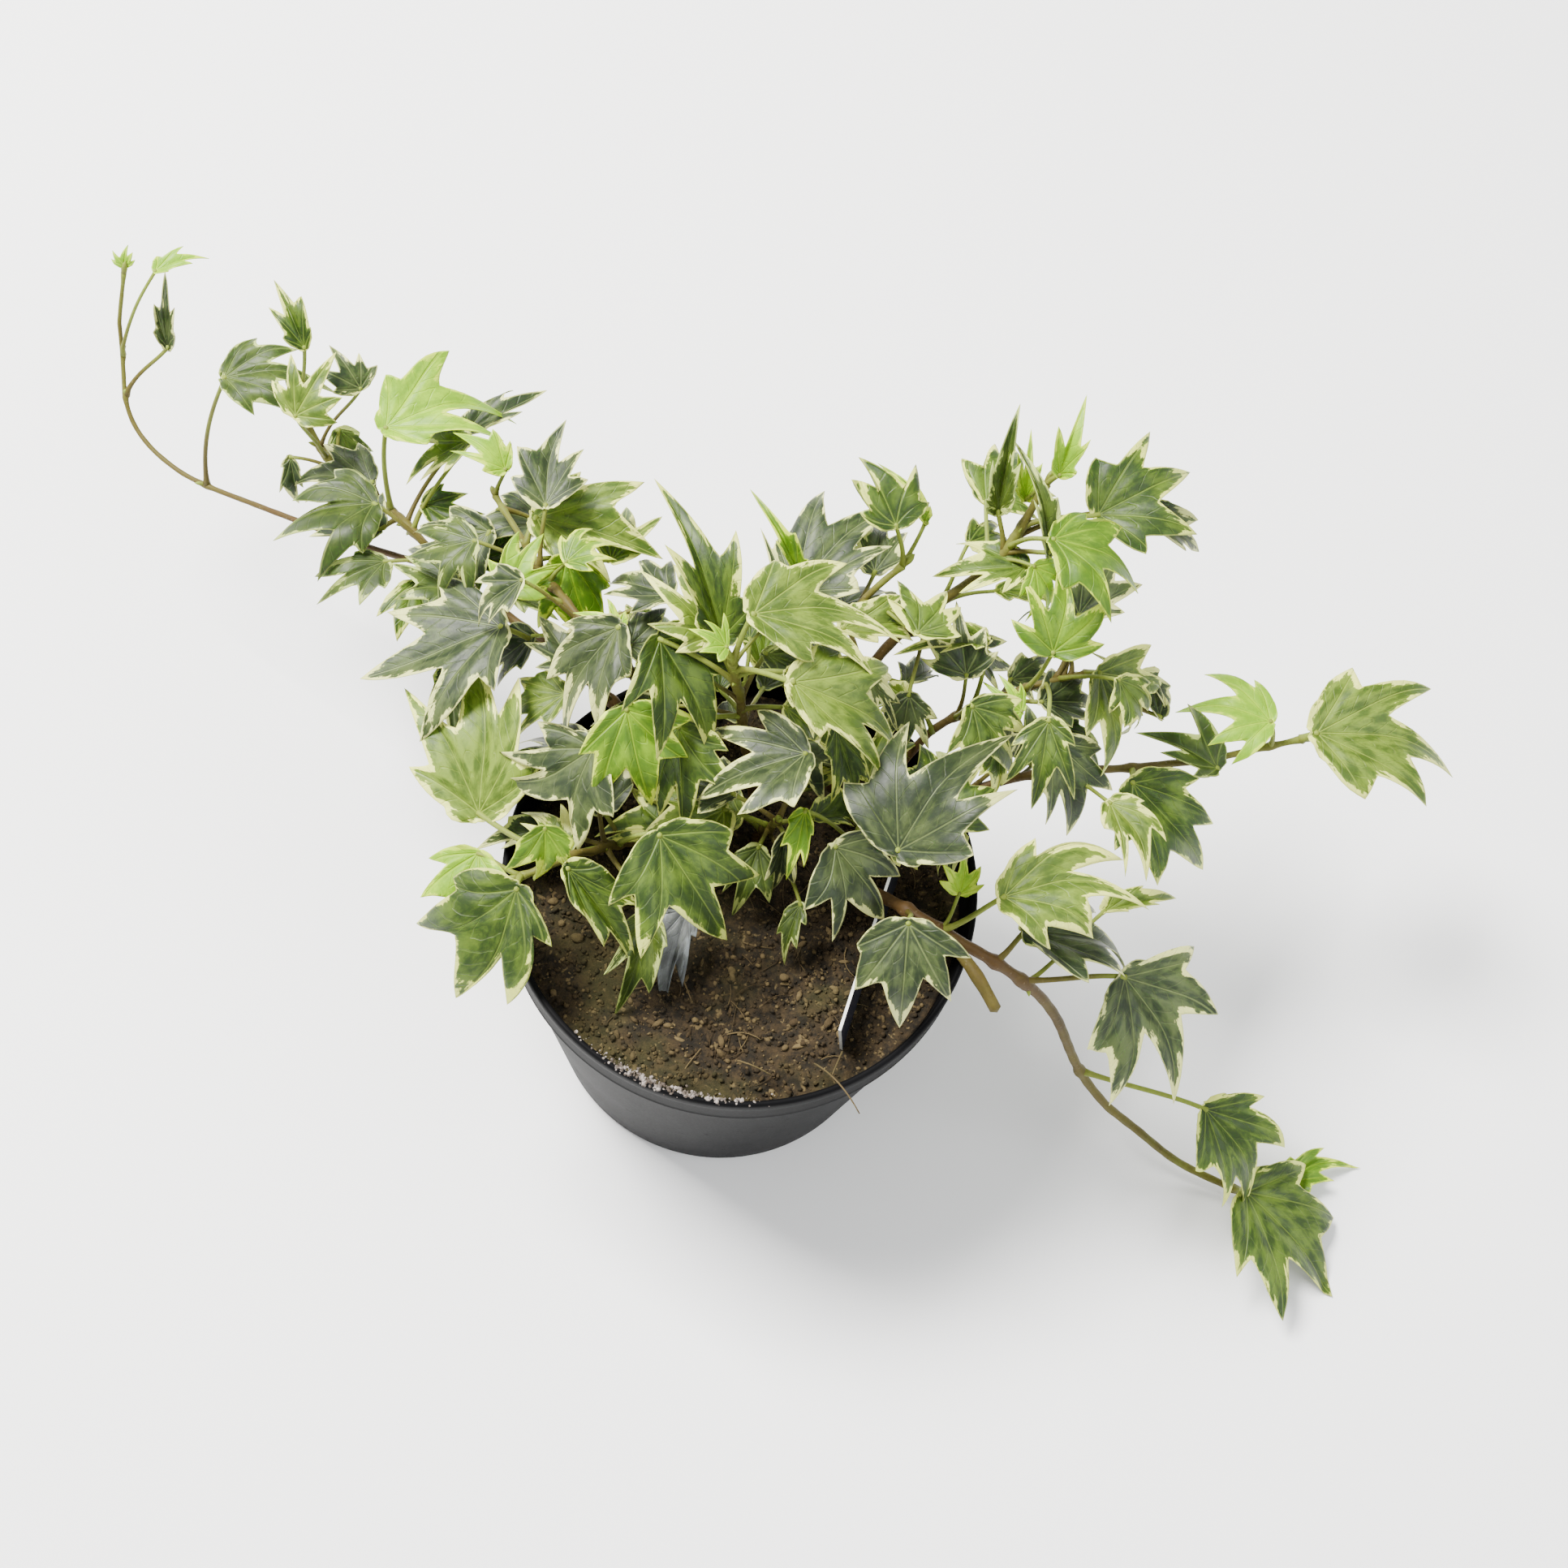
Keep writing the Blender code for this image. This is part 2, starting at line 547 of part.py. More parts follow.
def settled(shoot, fine, index, apart, obstacles):
    """The leaf's place after the gentlest adjustment that clears everything set before it."""
    for lift, swing in adjustments():
        placing = Placing(shoot, fine, index, lift, swing, apart)
        if min(point.z for point in placing.rim()) < LOWEST_LEAF:
            continue
        tree = rough_tree(placing)
        if not any(tree.overlap(other) for other in obstacles):
            return placing, tree
    raise RuntimeError(f"no room for leaf {index} of {shoot.name}")


def make_leaf(name, placing, collection, material):
    """A blade: a filled circle drawn out to the ivy outline, thickened, and joined to its stalk."""
    rim = placing.rim()
    shape = bmesh.new()
    bmesh.ops.create_circle(shape, cap_ends=True, cap_tris=True, segments=len(rim), radius=1.0)
    for vertex in shape.verts:
        if vertex.co.length < 0.5:
            vertex.co = placing.seat * MM
        else:
            turn = math.atan2(vertex.co.x, vertex.co.y) / (2.0 * math.pi) * len(rim)
            vertex.co = rim[round(turn) % len(rim)] * MM
    mesh = bpy.data.meshes.new(name)
    shape.to_mesh(mesh)
    shape.free()
    blade = new_object(f"{name}_blade", mesh, collection)
    thicken = blade.modifiers.new("thickness", "SOLIDIFY")
    thicken.thickness = BLADE_THICKNESS * MM
    thicken.offset = 0.0
    stalk_points = placing.stalk_points()
    radii = [PETIOLE_RADIUS] * len(stalk_points)
    stalk = tube(f"{name}_stalk", stalk_points, radii, 0, collection)
    return joined(blade, [stalk], name, collection, material)


def make_plant(collection, fixed):
    """The stems first, then every leaf in its settled place; small leaves join their stem."""
    materials = {tone: new_material(f"leaf_{tone}", colour, 0.45)
                 for tone, colour in TONES.items()}
    bark = new_material("stem", (0.145, 0.085, 0.045), 0.6)
    fines = {shoot.name: shoot_route(shoot) for shoot in SHOOTS}
    stems = {shoot.name: make_stem(shoot, fines[shoot.name], collection) for shoot in SHOOTS}
    stem_trees = {name: mesh_tree(stem) for name, stem in stems.items()}
    leaf_trees = []
    young = {shoot.name: [] for shoot in SHOOTS}
    for apart in (True, False):
        for shoot in SHOOTS:
            for index, leaf in enumerate(shoot.leaves):
                if (leaf.length >= SEPARATE_LEAF_LENGTH) != apart:
                    continue
                obstacles = list(fixed)
                obstacles += [tree for name, tree in stem_trees.items()
                              if apart or name != shoot.name]
                obstacles += [tree for owner, tree in leaf_trees
                              if apart or owner != shoot.name]
                placing, tree = settled(shoot, fines[shoot.name], index, apart, obstacles)
                leaf_trees.append((None if apart else shoot.name, tree))
                name = f"leaf_{shoot.name}_{index + 1}"
                made = make_leaf(name, placing, collection, materials[leaf.tone])
                if not apart:
                    young[shoot.name].append(made)
    for name, stem in stems.items():
        stem.data.materials.append(bark)
        joined(stem, young[name], f"shoot_{name}", collection, bark)


def main():
    clear_scene()
    collection = new_collection("potted_ivy")
    cutters = new_collection("cutters")
    pot = make_pot(collection, cutters)
    soil = make_soil(collection, cutters)
    label = make_label(collection)
    bpy.context.view_layer.update()
    make_plant(collection, [mesh_tree(pot), mesh_tree(soil), mesh_tree(label)])


main()
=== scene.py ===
"""Finished looks of a variegated ivy in its grower's pot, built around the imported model.

Lengths inside this script are millimetres until a mesh is made, which MM turns into metres.
The plant stands with the centre of its pot's base at the origin, +Z up.  Drafting and shader
helpers come first, then finishes, the list of shoots and leaves, and the parts built from them.
"""
import logging
import math
from dataclasses import dataclass, field
from enum import Enum
from typing import Any, Callable, Iterable, Sequence

import bpy
import numpy as np
from mathutils import Matrix, Vector


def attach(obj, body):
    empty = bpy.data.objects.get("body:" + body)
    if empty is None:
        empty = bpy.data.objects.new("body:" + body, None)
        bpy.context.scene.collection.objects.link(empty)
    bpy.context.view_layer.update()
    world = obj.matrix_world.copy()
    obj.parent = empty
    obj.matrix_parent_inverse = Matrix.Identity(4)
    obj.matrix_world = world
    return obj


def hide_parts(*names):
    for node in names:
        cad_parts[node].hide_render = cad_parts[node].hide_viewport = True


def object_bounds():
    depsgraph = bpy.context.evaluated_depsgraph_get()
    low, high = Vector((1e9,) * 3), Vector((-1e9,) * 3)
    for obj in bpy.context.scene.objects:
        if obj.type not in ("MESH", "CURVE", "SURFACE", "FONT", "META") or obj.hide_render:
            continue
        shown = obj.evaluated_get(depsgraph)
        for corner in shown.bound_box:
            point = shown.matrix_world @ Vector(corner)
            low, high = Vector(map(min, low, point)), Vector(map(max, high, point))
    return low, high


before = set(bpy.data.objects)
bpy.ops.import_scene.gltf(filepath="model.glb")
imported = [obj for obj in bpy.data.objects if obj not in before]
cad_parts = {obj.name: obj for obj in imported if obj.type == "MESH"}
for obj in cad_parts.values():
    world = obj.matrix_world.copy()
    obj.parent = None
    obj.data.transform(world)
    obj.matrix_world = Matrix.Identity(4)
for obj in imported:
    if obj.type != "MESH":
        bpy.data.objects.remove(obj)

MM = 0.001
Array = np.ndarray
Colour = tuple[float, float, float]
LOG = logging.getLogger("potted_ivy")
SIZE_AT_START = [list(corner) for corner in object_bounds()]
BOX_LOW, BOX_HIGH = (np.array(corner) / MM for corner in SIZE_AT_START)
BOX_MARGIN = 0.4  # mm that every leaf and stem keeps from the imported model's box
FULL_TURN = 2 * np.pi


# ---------------------------------------------------------------------------------------------
# Mesh drafting
# ---------------------------------------------------------------------------------------------
@dataclass
class Sheet:
    """One stretch of surface: points in mm, its faces and its marks, a value at each point."""

    points: Array
    quads: Array
    tris: Array = field(default_factory=lambda: np.zeros((0, 3), int))
    marks: dict[str, Array] = field(default_factory=dict)
    finish: int = 0

    def marked(self, **values: Any) -> "Sheet":
        """Add marks to the sheet.

        Args:
            **values: One value, or one for each point, by the mark's name.

        Returns:
            The same sheet.
        """
        for key, value in values.items():
            self.marks[key] = np.broadcast_to(np.asarray(value, float), (len(self.points),))
        return self


def ring_quads(rings: int, sides: int, closed: bool = True) -> Array:
    """Quads of a grid of rings, wrapped round when closed.

    Args:
        rings: Number of rings of points.
        sides: Number of points in each ring.
        closed: Whether the last point joins the first.

    Returns:
        Indices, one row of four for each face.
    """
    ring, side = np.meshgrid(np.arange(rings - 1), np.arange(sides if closed else sides - 1),
                             indexing="ij")
    after = (side + 1) % sides
    quads = np.stack([ring * sides + side, ring * sides + after,
                      (ring + 1) * sides + after, (ring + 1) * sides + side], -1)
    return quads.reshape(-1, 4)


def fan_tris(hub: int, first: int, sides: int, flip: bool = False) -> Array:
    """Triangles from a hub point to a ring of points.

    Args:
        hub: Index of the hub point.
        first: Index of the ring's first point.
        sides: Number of points in the ring.
        flip: Whether the triangles face the other way.

    Returns:
        Indices, one row of three for each face.
    """
    side = np.arange(sides)
    fan = np.stack([np.full(sides, hub), first + side, first + (side + 1) % sides], -1)
    return fan[:, ::-1] if flip else fan


def make_object(name: str, sheets: Sequence[Sheet], finishes: Sequence[bpy.types.Material],
                sharp: float | None = None) -> bpy.types.Object:
    """One object from sheets of surface, with its place in its mesh.

    Args:
        name: The piece's name.
        sheets: The sheets; each one's finish picks its material.
        finishes: The materials in the order that the sheets count them.
        sharp: Edges turning more than this many degrees are left sharp; None keeps all smooth.

    Returns:
        The linked object.
    """
    starts = np.cumsum([0] + [len(sheet.points) for sheet in sheets])
    corners, sizes, paints = [], [], []
    for sheet, start in zip(sheets, starts):
        corners += [(sheet.quads + start).ravel(), (sheet.tris + start).ravel()]
        sizes += [np.full(len(sheet.quads), 4), np.full(len(sheet.tris), 3)]
        paints.append(np.full(len(sheet.quads) + len(sheet.tris), sheet.finish))
    loops, size = np.concatenate(corners).astype(np.int32), np.concatenate(sizes)
    mesh = bpy.data.meshes.new(name)
    mesh.vertices.add(int(starts[-1]))
    points = np.concatenate([sheet.points for sheet in sheets]) * MM
    mesh.vertices.foreach_set("co", points.astype(np.float32).ravel())
    mesh.loops.add(len(loops))
    mesh.loops.foreach_set("vertex_index", loops)
    mesh.polygons.add(len(size))
    mesh.polygons.foreach_set("loop_start", (np.cumsum(size) - size).astype(np.int32))
    mesh.polygons.foreach_set("material_index", np.concatenate(paints).astype(np.int32))
    for key in sorted({key for sheet in sheets for key in sheet.marks}):
        blank = [sheet.marks.get(key, np.zeros(len(sheet.points))) for sheet in sheets]
        mark = mesh.attributes.new(key, "FLOAT", "POINT")
        mark.data.foreach_set("value", np.concatenate(blank).astype(np.float32))
    mesh.update(calc_edges=True)
    mesh.validate()
    mesh.shade_smooth()
    if sharp is not None:
        mesh.set_sharp_from_angle(angle=math.radians(sharp))
    for finish in finishes:
        mesh.materials.append(finish)
    thing = bpy.data.objects.new(name, mesh)
    bpy.context.scene.collection.objects.link(thing)
    return thing


def settle_piece(thing: bpy.types.Object, nodes: Iterable[str]) -> None:
    """Tie a piece to the plant's one body and the nodes it stands for.

    Args:
        thing: The finished piece.
        nodes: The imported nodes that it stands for.
    """
    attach(thing, "root")
    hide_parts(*nodes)
    LOG.info("%s: %d faces", thing.name, len(thing.data.polygons))


# ---------------------------------------------------------------------------------------------
# Shapes that several parts share
# ---------------------------------------------------------------------------------------------
def unit(vectors: Array) -> Array:
    """The vectors at length one."""
    return vectors / np.maximum(np.linalg.norm(vectors, axis=-1, keepdims=True), 1e-9)


def compass(bearing: Any, rise: Any) -> Array:
    """Unit vectors from bearings and climbs.

    Args:
        bearing: Degrees from +X towards +Y, a number or an array.
        rise: Degrees up from level, a number or an array.

    Returns:
        The vectors, (..., 3).
    """
    turn, climb = np.radians(bearing), np.radians(rise)
    return np.stack([np.cos(turn) * np.cos(climb), np.sin(turn) * np.cos(climb),
                     np.sin(climb) + 0.0 * turn], -1)


def smooth_route(points: Array) -> Array:
    """A Catmull-Rom curve through the points, twelve steps to each stretch.

    Each stretch is 0.5 (2b + (c - a)t + (2a - 5b + 4c - d)t^2 + (3b - a - 3c + d)t^3), for
    four points a, b, c, d in a row and t from 0 to 1 between b and c.

    Args:
        points: The route's own points, (n, 3).

    Returns:
        The fine points, (12 (n - 1) + 1, 3).
    """
    ends = np.vstack([2 * points[0] - points[1], points, 2 * points[-1] - points[-2]])
    a, b, c, d = (ends[i:len(ends) - 3 + i, None, :] for i in range(4))
    t = (np.arange(12) / 12)[None, :, None]
    fine = 0.5 * (2 * b + (c - a) * t + (2 * a - 5 * b + 4 * c - d) * t ** 2
                  + (3 * b - a - 3 * c + d) * t ** 3)
    return np.vstack([fine.reshape(-1, 3), points[-1:]])


def along_route(fine: Array, shares: Array) -> tuple[Array, Array]:
    """Points and directions at shares of a fine route's length.

    Args:
        fine: The fine route, (n, 3).
        shares: Shares of the length from 0 to 1, (m,).

    Returns:
        The points (m, 3) and the unit directions (m, 3).
    """
    steps = np.linalg.norm(np.diff(fine, axis=0), axis=1)
    reach = np.concatenate([[0.0], np.cumsum(steps)])
    wanted = np.clip(shares, 0, 1) * reach[-1]
    spots = np.stack([np.interp(wanted, reach, fine[:, axis]) for axis in range(3)], -1)
    cell = np.clip(np.searchsorted(reach, wanted, side="left") - 1, 0, len(fine) - 2)
    return spots, unit(fine[cell + 1] - fine[cell])


def carried_axes(ahead: Array) -> tuple[Array, Array]:
    """Two axes across a path that turn with it smoothly and never spin about it.

    Args:
        ahead: Unit directions along the path, (n, 3).

    Returns:
        The two unit axes, each (n, 3).
    """
    guide = np.array([0.31, -0.22, 0.92]) if abs(ahead[0][2]) < 0.8 else np.array([1.0, 0.2, 0.1])
    sides = []
    for step in ahead:
        guide = guide - step * guide.dot(step)
        guide = guide / np.linalg.norm(guide)
        sides.append(guide)
    side = np.array(sides)
    return side, np.cross(ahead, side)


def tube(spots: Array, radii: Array, sides: int, age: Array) -> Sheet:
    """A closed tube: each ring is the spot plus radius (side cos a + over sin a).

    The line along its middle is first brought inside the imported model's box.

    Args:
        spots: Points along the middle, (n, 3).
        radii: The radius at each, (n,).
        sides: Points round each ring.
        age: A mark from 0 at the old end to 1 at the young end, (n,).

    Returns:
        The sheet with both ends closed by a hub point.
    """
    room = radii[:, None] + BOX_MARGIN
    spots = np.clip(spots, (BOX_LOW + room) * (1, 1, 0), BOX_HIGH - room)
    ahead = unit(np.gradient(spots, axis=0))
    side, over = carried_axes(ahead)
    turn = (np.arange(sides) / sides * FULL_TURN)[None, :, None]
    wheel = side[:, None] * np.cos(turn) + over[:, None] * np.sin(turn)
    rings = spots[:, None] + wheel * radii[:, None, None]
    count = len(spots)
    hubs = np.stack([spots[0] - ahead[0] * radii[0] * 0.4, spots[-1] + ahead[-1] * radii[-1] * 0.6])
    tris = np.vstack([fan_tris(count * sides, 0, sides, flip=True),
                      fan_tris(count * sides + 1, (count - 1) * sides, sides)])
    sheet = Sheet(np.vstack([rings.reshape(-1, 3), hubs]), ring_quads(count, sides), tris)
    return sheet.marked(age=np.concatenate([np.repeat(age, sides), [age[0], age[-1]]]))


def lattice_noise(spots: Array, cell: float, seed: int) -> Array:
    """Smooth noise from -1 to 1: random values on a square lattice, eased between its corners.

    Args:
        spots: Places in the plane, (n, 2), in mm.
        cell: The lattice's spacing in mm.
        seed: Seed of the lattice's values.

    Returns:
        The noise at each place, (n,).
    """
    side = 64
    table = np.random.default_rng(seed).uniform(-1, 1, (side, side))
    place = spots / cell
    low = np.floor(place).astype(int)
    part = place - low
    ease = part * part * (3 - 2 * part)
    x0, y0 = low[:, 0] % side, low[:, 1] % side
    x1, y1 = (x0 + 1) % side, (y0 + 1) % side
    near = table[x0, y0] * (1 - ease[:, 0]) + table[x1, y0] * ease[:, 0]
    far = table[x0, y1] * (1 - ease[:, 0]) + table[x1, y1] * ease[:, 0]
    return near * (1 - ease[:, 1]) + far * ease[:, 1]


# ---------------------------------------------------------------------------------------------
# Shader drafting
# ---------------------------------------------------------------------------------------------
class Wire:
    """A shader value that can be added, subtracted, multiplied and divided."""

    def __init__(self, kit: "Kit", socket: bpy.types.NodeSocket) -> None:
        self.kit = kit
        self.socket = socket

    def maths(self, operation: str, first: Any, second: Any) -> "Wire":
        """A Math node on two values."""
        return self.kit.make("ShaderNodeMath", {"operation": operation}, {0: first, 1: second})

    def __add__(self, other: Any) -> "Wire":
        """This value plus the other."""
        return self.maths("ADD", self, other)

    def __radd__(self, other: Any) -> "Wire":
        """The other plus this value."""
        return self.maths("ADD", other, self)

    def __sub__(self, other: Any) -> "Wire":
        """This value less the other."""
        return self.maths("SUBTRACT", self, other)

    def __rsub__(self, other: Any) -> "Wire":
        """The other less this value."""
        return self.maths("SUBTRACT", other, self)

    def __mul__(self, other: Any) -> "Wire":
        """This value times the other."""
        return self.maths("MULTIPLY", self, other)

    def __rmul__(self, other: Any) -> "Wire":
        """The other times this value."""
        return self.maths("MULTIPLY", other, self)

    def __truediv__(self, other: Any) -> "Wire":
        """This value over the other."""
        return self.maths("DIVIDE", self, other)

    def __rtruediv__(self, other: Any) -> "Wire":
        """The other over this value."""
        return self.maths("DIVIDE", other, self)


class Kit:
    """Builds one material's nodes."""

    def __init__(self, name: str) -> None:
        """Start a material with its Principled shader ready."""
        self.material = bpy.data.materials.new(name)
        self.material.use_nodes = True
        self.tree = self.material.node_tree
        self.shader = self.tree.nodes["Principled BSDF"]

    def make(self, kind: str, settings: dict[str, Any], inputs: dict[Any, Any],
             output: int = 0) -> Wire:
        """Any node: its settings are set first, then its sockets are given values or links.

        Args:
            kind: The node's type.
            settings: Its settings by name.
            inputs: Values or wires by socket name or number.
            output: Which output to hand on.

        Returns:
            The output as a wire.
        """
        node = self.tree.nodes.new(kind)
        for key, value in settings.items():
            setattr(node, key, value)
        for key, value in inputs.items():
            self.feed(node.inputs[key], value)
        return Wire(self, node.outputs[output])

    def feed(self, socket: bpy.types.NodeSocket, value: Any) -> None:
        """Link a wire to a socket, or set the socket's own value.

        Args:
            socket: The socket.
            value: A wire, a colour or a number.
        """
        if isinstance(value, Wire):
            self.tree.links.new(value.socket, socket)
        elif isinstance(value, tuple) and len(value) == 3 and socket.type == "RGBA":
            socket.default_value = (*value, 1.0)
        else:
            socket.default_value = value

    def mark(self, name: str) -> Wire:
        """A mark that the mesh holds at its points."""
        return self.make("ShaderNodeAttribute", {"attribute_name": name}, {}, output=2)

    def spot(self) -> Wire:
        """The place on the piece, in metres from the object's origin."""
        return self.make("ShaderNodeTexCoord", {}, {}, output=3)

    def vector(self, x: Any, y: Any, z: Any) -> Wire:
        """Three values as a vector."""
        return self.make("ShaderNodeCombineXYZ", {}, {0: x, 1: y, 2: z})

    def noise(self, vector: Wire, scale: float, detail: float = 3.0, rough: float = 0.55) -> Wire:
        """Smooth noise from 0 to 1."""
        return self.make("ShaderNodeTexNoise", {}, {"Vector": vector, "Scale": scale,
                                                    "Detail": detail, "Roughness": rough})

    def cells(self, vector: Wire, scale: float, output: int = 0) -> Wire:
        """Cell noise: output 0 is the distance to the nearest cell's middle, 1 its colour."""
        return self.make("ShaderNodeTexVoronoi", {}, {"Vector": vector, "Scale": scale}, output)

    def ramp(self, value: Any, low: Any, high: Any) -> Wire:
        """Eased climb from 0 at low to 1 at high."""
        return self.make("ShaderNodeMapRange", {"interpolation_type": "SMOOTHSTEP"},
                         {"Value": value, "From Min": low, "From Max": high})

    def blend(self, share: Any, first: Any, second: Any) -> Wire:
        """The first colour going to the second as share goes from 0 to 1."""
        return self.make("ShaderNodeMix", {"data_type": "RGBA"}, {0: share, 6: first, 7: second},
                         output=2)

    def dim(self, colour: Wire, factor: Any) -> Wire:
        """A colour times one value."""
        return self.make("ShaderNodeVectorMath", {"operation": "SCALE"}, {0: colour, 3: factor})

    def bump(self, height: Wire, depth: float, strength: float = 1.0) -> Wire:
        """Relief from a height of 0 to 1 that is depth mm deep."""
        return self.make("ShaderNodeBump", {}, {"Height": height, "Distance": depth * MM,
                                                "Strength": strength})

    def finish(self, **sockets: Any) -> bpy.types.Material:
        """Feed the Principled shader; words stand for its sockets' names with _ for a space.

        Args:
            **sockets: Values or wires, such as Base_Color or Roughness.

        Returns:
            The material.
        """
        for key, value in sockets.items():
            self.feed(self.shader.inputs[key.replace("_", " ")], value)
        return self.material


# ---------------------------------------------------------------------------------------------
# Finishes
# ---------------------------------------------------------------------------------------------
@dataclass(frozen=True)
class LeafFinish:
    """A leaf's colours: two greens in streaks, pale veins, a ragged pale margin, dull below."""

    name: str
    dark: Colour
    light: Colour
    margin: Colour
    vein: Colour
    below: Colour
    margin_width: float
    streak_low: float = 0.40
    streak_high: float = 0.62

    def material(self) -> bpy.types.Material:
        """The leaf's material, patterned by marks in mm across the blade.

        Returns:
            The material.
        """
        kit = Kit(self.name)
        rim, run, off = kit.mark("rim"), kit.mark("run"), kit.mark("off")
        luck, below = kit.mark("luck"), kit.mark("below")
        flat = kit.vector(kit.mark("across"), kit.mark("ahead"), luck * 61.0)
        streaks = kit.noise(kit.vector(run * 0.13, off * 0.55, luck * 37.0), 1.0, 4.0, 0.6)
        blotches = kit.noise(flat, 0.13, 3.0)
        grain = kit.noise(flat, 1.4, 3.0)
        patch = kit.ramp(streaks * 0.65 + blotches * 0.35, self.streak_low, self.streak_high)
        colour = kit.blend(patch, self.dark, self.light)
        wander = blotches * 0.9
        feather = kit.make("ShaderNodeMath", {"operation": "PINGPONG"},
                           {0: (run - off * 1.25) / 4.2 + wander, 1: 0.5})
        ribs = (1.0 - kit.ramp(feather, 0.02, 0.08)) * kit.ramp(off, 0.3, 0.9)
        colour = kit.blend(ribs * 0.11, colour, self.vein)
        spine = 1.0 - kit.ramp(off, 0.10, 0.32)
        colour = kit.blend(spine * 0.46, colour, self.vein)
        ragged = (0.52 - streaks) * 9.0 + (0.5 - blotches) * 5.0 + (grain - 0.5) * 1.0
        width = (luck * 0.7 + 0.65) * self.margin_width
        halo = 1.0 - kit.ramp(rim + ragged, width * 1.3, width * 2.8)
        colour = kit.blend(halo * 0.45, colour, self.light)
        edge = 1.0 - kit.ramp(rim + ragged * 0.75, width * 0.62, width * 0.62 + 0.45)
        brim = 1.0 - kit.ramp(rim, 0.15, 0.40)
        colour = kit.blend(kit.make("ShaderNodeMath", {"operation": "MAXIMUM"},
                                    {0: edge, 1: brim * 0.45}), colour, self.margin)
        colour = kit.dim(colour, grain * 0.36 + luck * 0.30 + 0.68)
        colour = kit.blend(below * 0.70, colour, self.below)
        height = blotches * 0.5 + grain * 0.10 - spine * 0.45 - ribs * 0.22
        rough = grain * 0.16 + below * 0.14 + 0.40
        return kit.finish(Base_Color=colour, Roughness=rough, Specular_IOR_Level=0.30,
                          Subsurface_Weight=0.10, Subsurface_Radius=(0.6, 1.0, 0.25),
                          Subsurface_Scale=0.0012, Normal=kit.bump(height, 0.55, 0.7))


@dataclass(frozen=True)
class StemFinish:
    """Stem or stalk skin: old colour to young colour along it, with pores and fine mottling."""

    name: str = "stem"
    old: Colour = (0.066, 0.036, 0.010)
    middle: Colour = (0.088, 0.074, 0.013)
    young: Colour = (0.175, 0.225, 0.028)
    pore: Colour = (0.20, 0.15, 0.08)
    pores: float = 0.5

    def material(self) -> bpy.types.Material:
        """The material, coloured by the mark that runs from the old end to the young one.

        Returns:
            The material.
        """
        kit = Kit(self.name)
        age, spot = kit.mark("age"), kit.spot()
        patch = kit.noise(spot, 90.0, 3.0)
        fine = kit.noise(spot, 900.0, 3.0)
        shift = age + (patch - 0.5) * 0.5
        colour = kit.blend(kit.ramp(shift, 0.15, 0.55), self.old, self.middle)
        colour = kit.blend(kit.ramp(shift, 0.50, 0.95), colour, self.young)
        pore = 1.0 - kit.ramp(kit.cells(spot, 620.0), 0.10, 0.22)
        colour = kit.blend(pore * (self.pores * 0.4), colour, self.pore)
        colour = kit.dim(colour, fine * 0.6 + 0.7)
        height = fine * 0.6 + pore * self.pores
        return kit.finish(Base_Color=colour, Roughness=fine * 0.25 + 0.46, Specular_IOR_Level=0.20,
                          Normal=kit.bump(height, 0.18, 0.8))


@dataclass(frozen=True)
class PotFinish:
    """Satin black moulded plastic, patchily dusty and lightly scuffed."""

    name: str = "black_plastic"
    body: Colour = (0.0032, 0.0032, 0.0036)
    dust: Colour = (0.020, 0.019, 0.018)
    grit: Colour = (0.10, 0.088, 0.07)

    def material(self) -> bpy.types.Material:
        """The pot's material, patterned in the pot's own coordinates.

        Returns:
            The material.
        """
        kit = Kit(self.name)
        spot = kit.spot()
        cloud = kit.noise(spot, 28.0, 4.0)
        fine = kit.noise(spot, 1500.0, 2.0)
        grit = 1.0 - kit.ramp(kit.cells(spot, 420.0), 0.06, 0.16)
        drawn_out = kit.make("ShaderNodeMapping", {},
                             {"Vector": spot, "Scale": (240.0, 240.0, 9.0)})
        drawn = kit.noise(drawn_out, 1.0, 3.0)
        scuff = kit.ramp(kit.noise(spot, 160.0, 5.0, 0.7), 0.60, 0.74)
        colour = kit.blend(kit.ramp(cloud, 0.45, 0.80) * 0.22, self.body, self.dust)
        colour = kit.blend(scuff * 0.16, colour, self.dust)
        colour = kit.blend(grit * kit.ramp(cloud, 0.54, 0.70) * 0.35, colour, self.grit)
        colour = kit.dim(colour, drawn * 0.5 + 0.78)
        rough = cloud * 0.16 + fine * 0.10 + scuff * 0.12 + 0.42
        height = fine * 0.35 + drawn * 0.35 + grit * 0.6
        return kit.finish(Base_Color=colour, Roughness=rough, Specular_IOR_Level=0.04,
                          Normal=kit.bump(height, 0.09, 0.7))


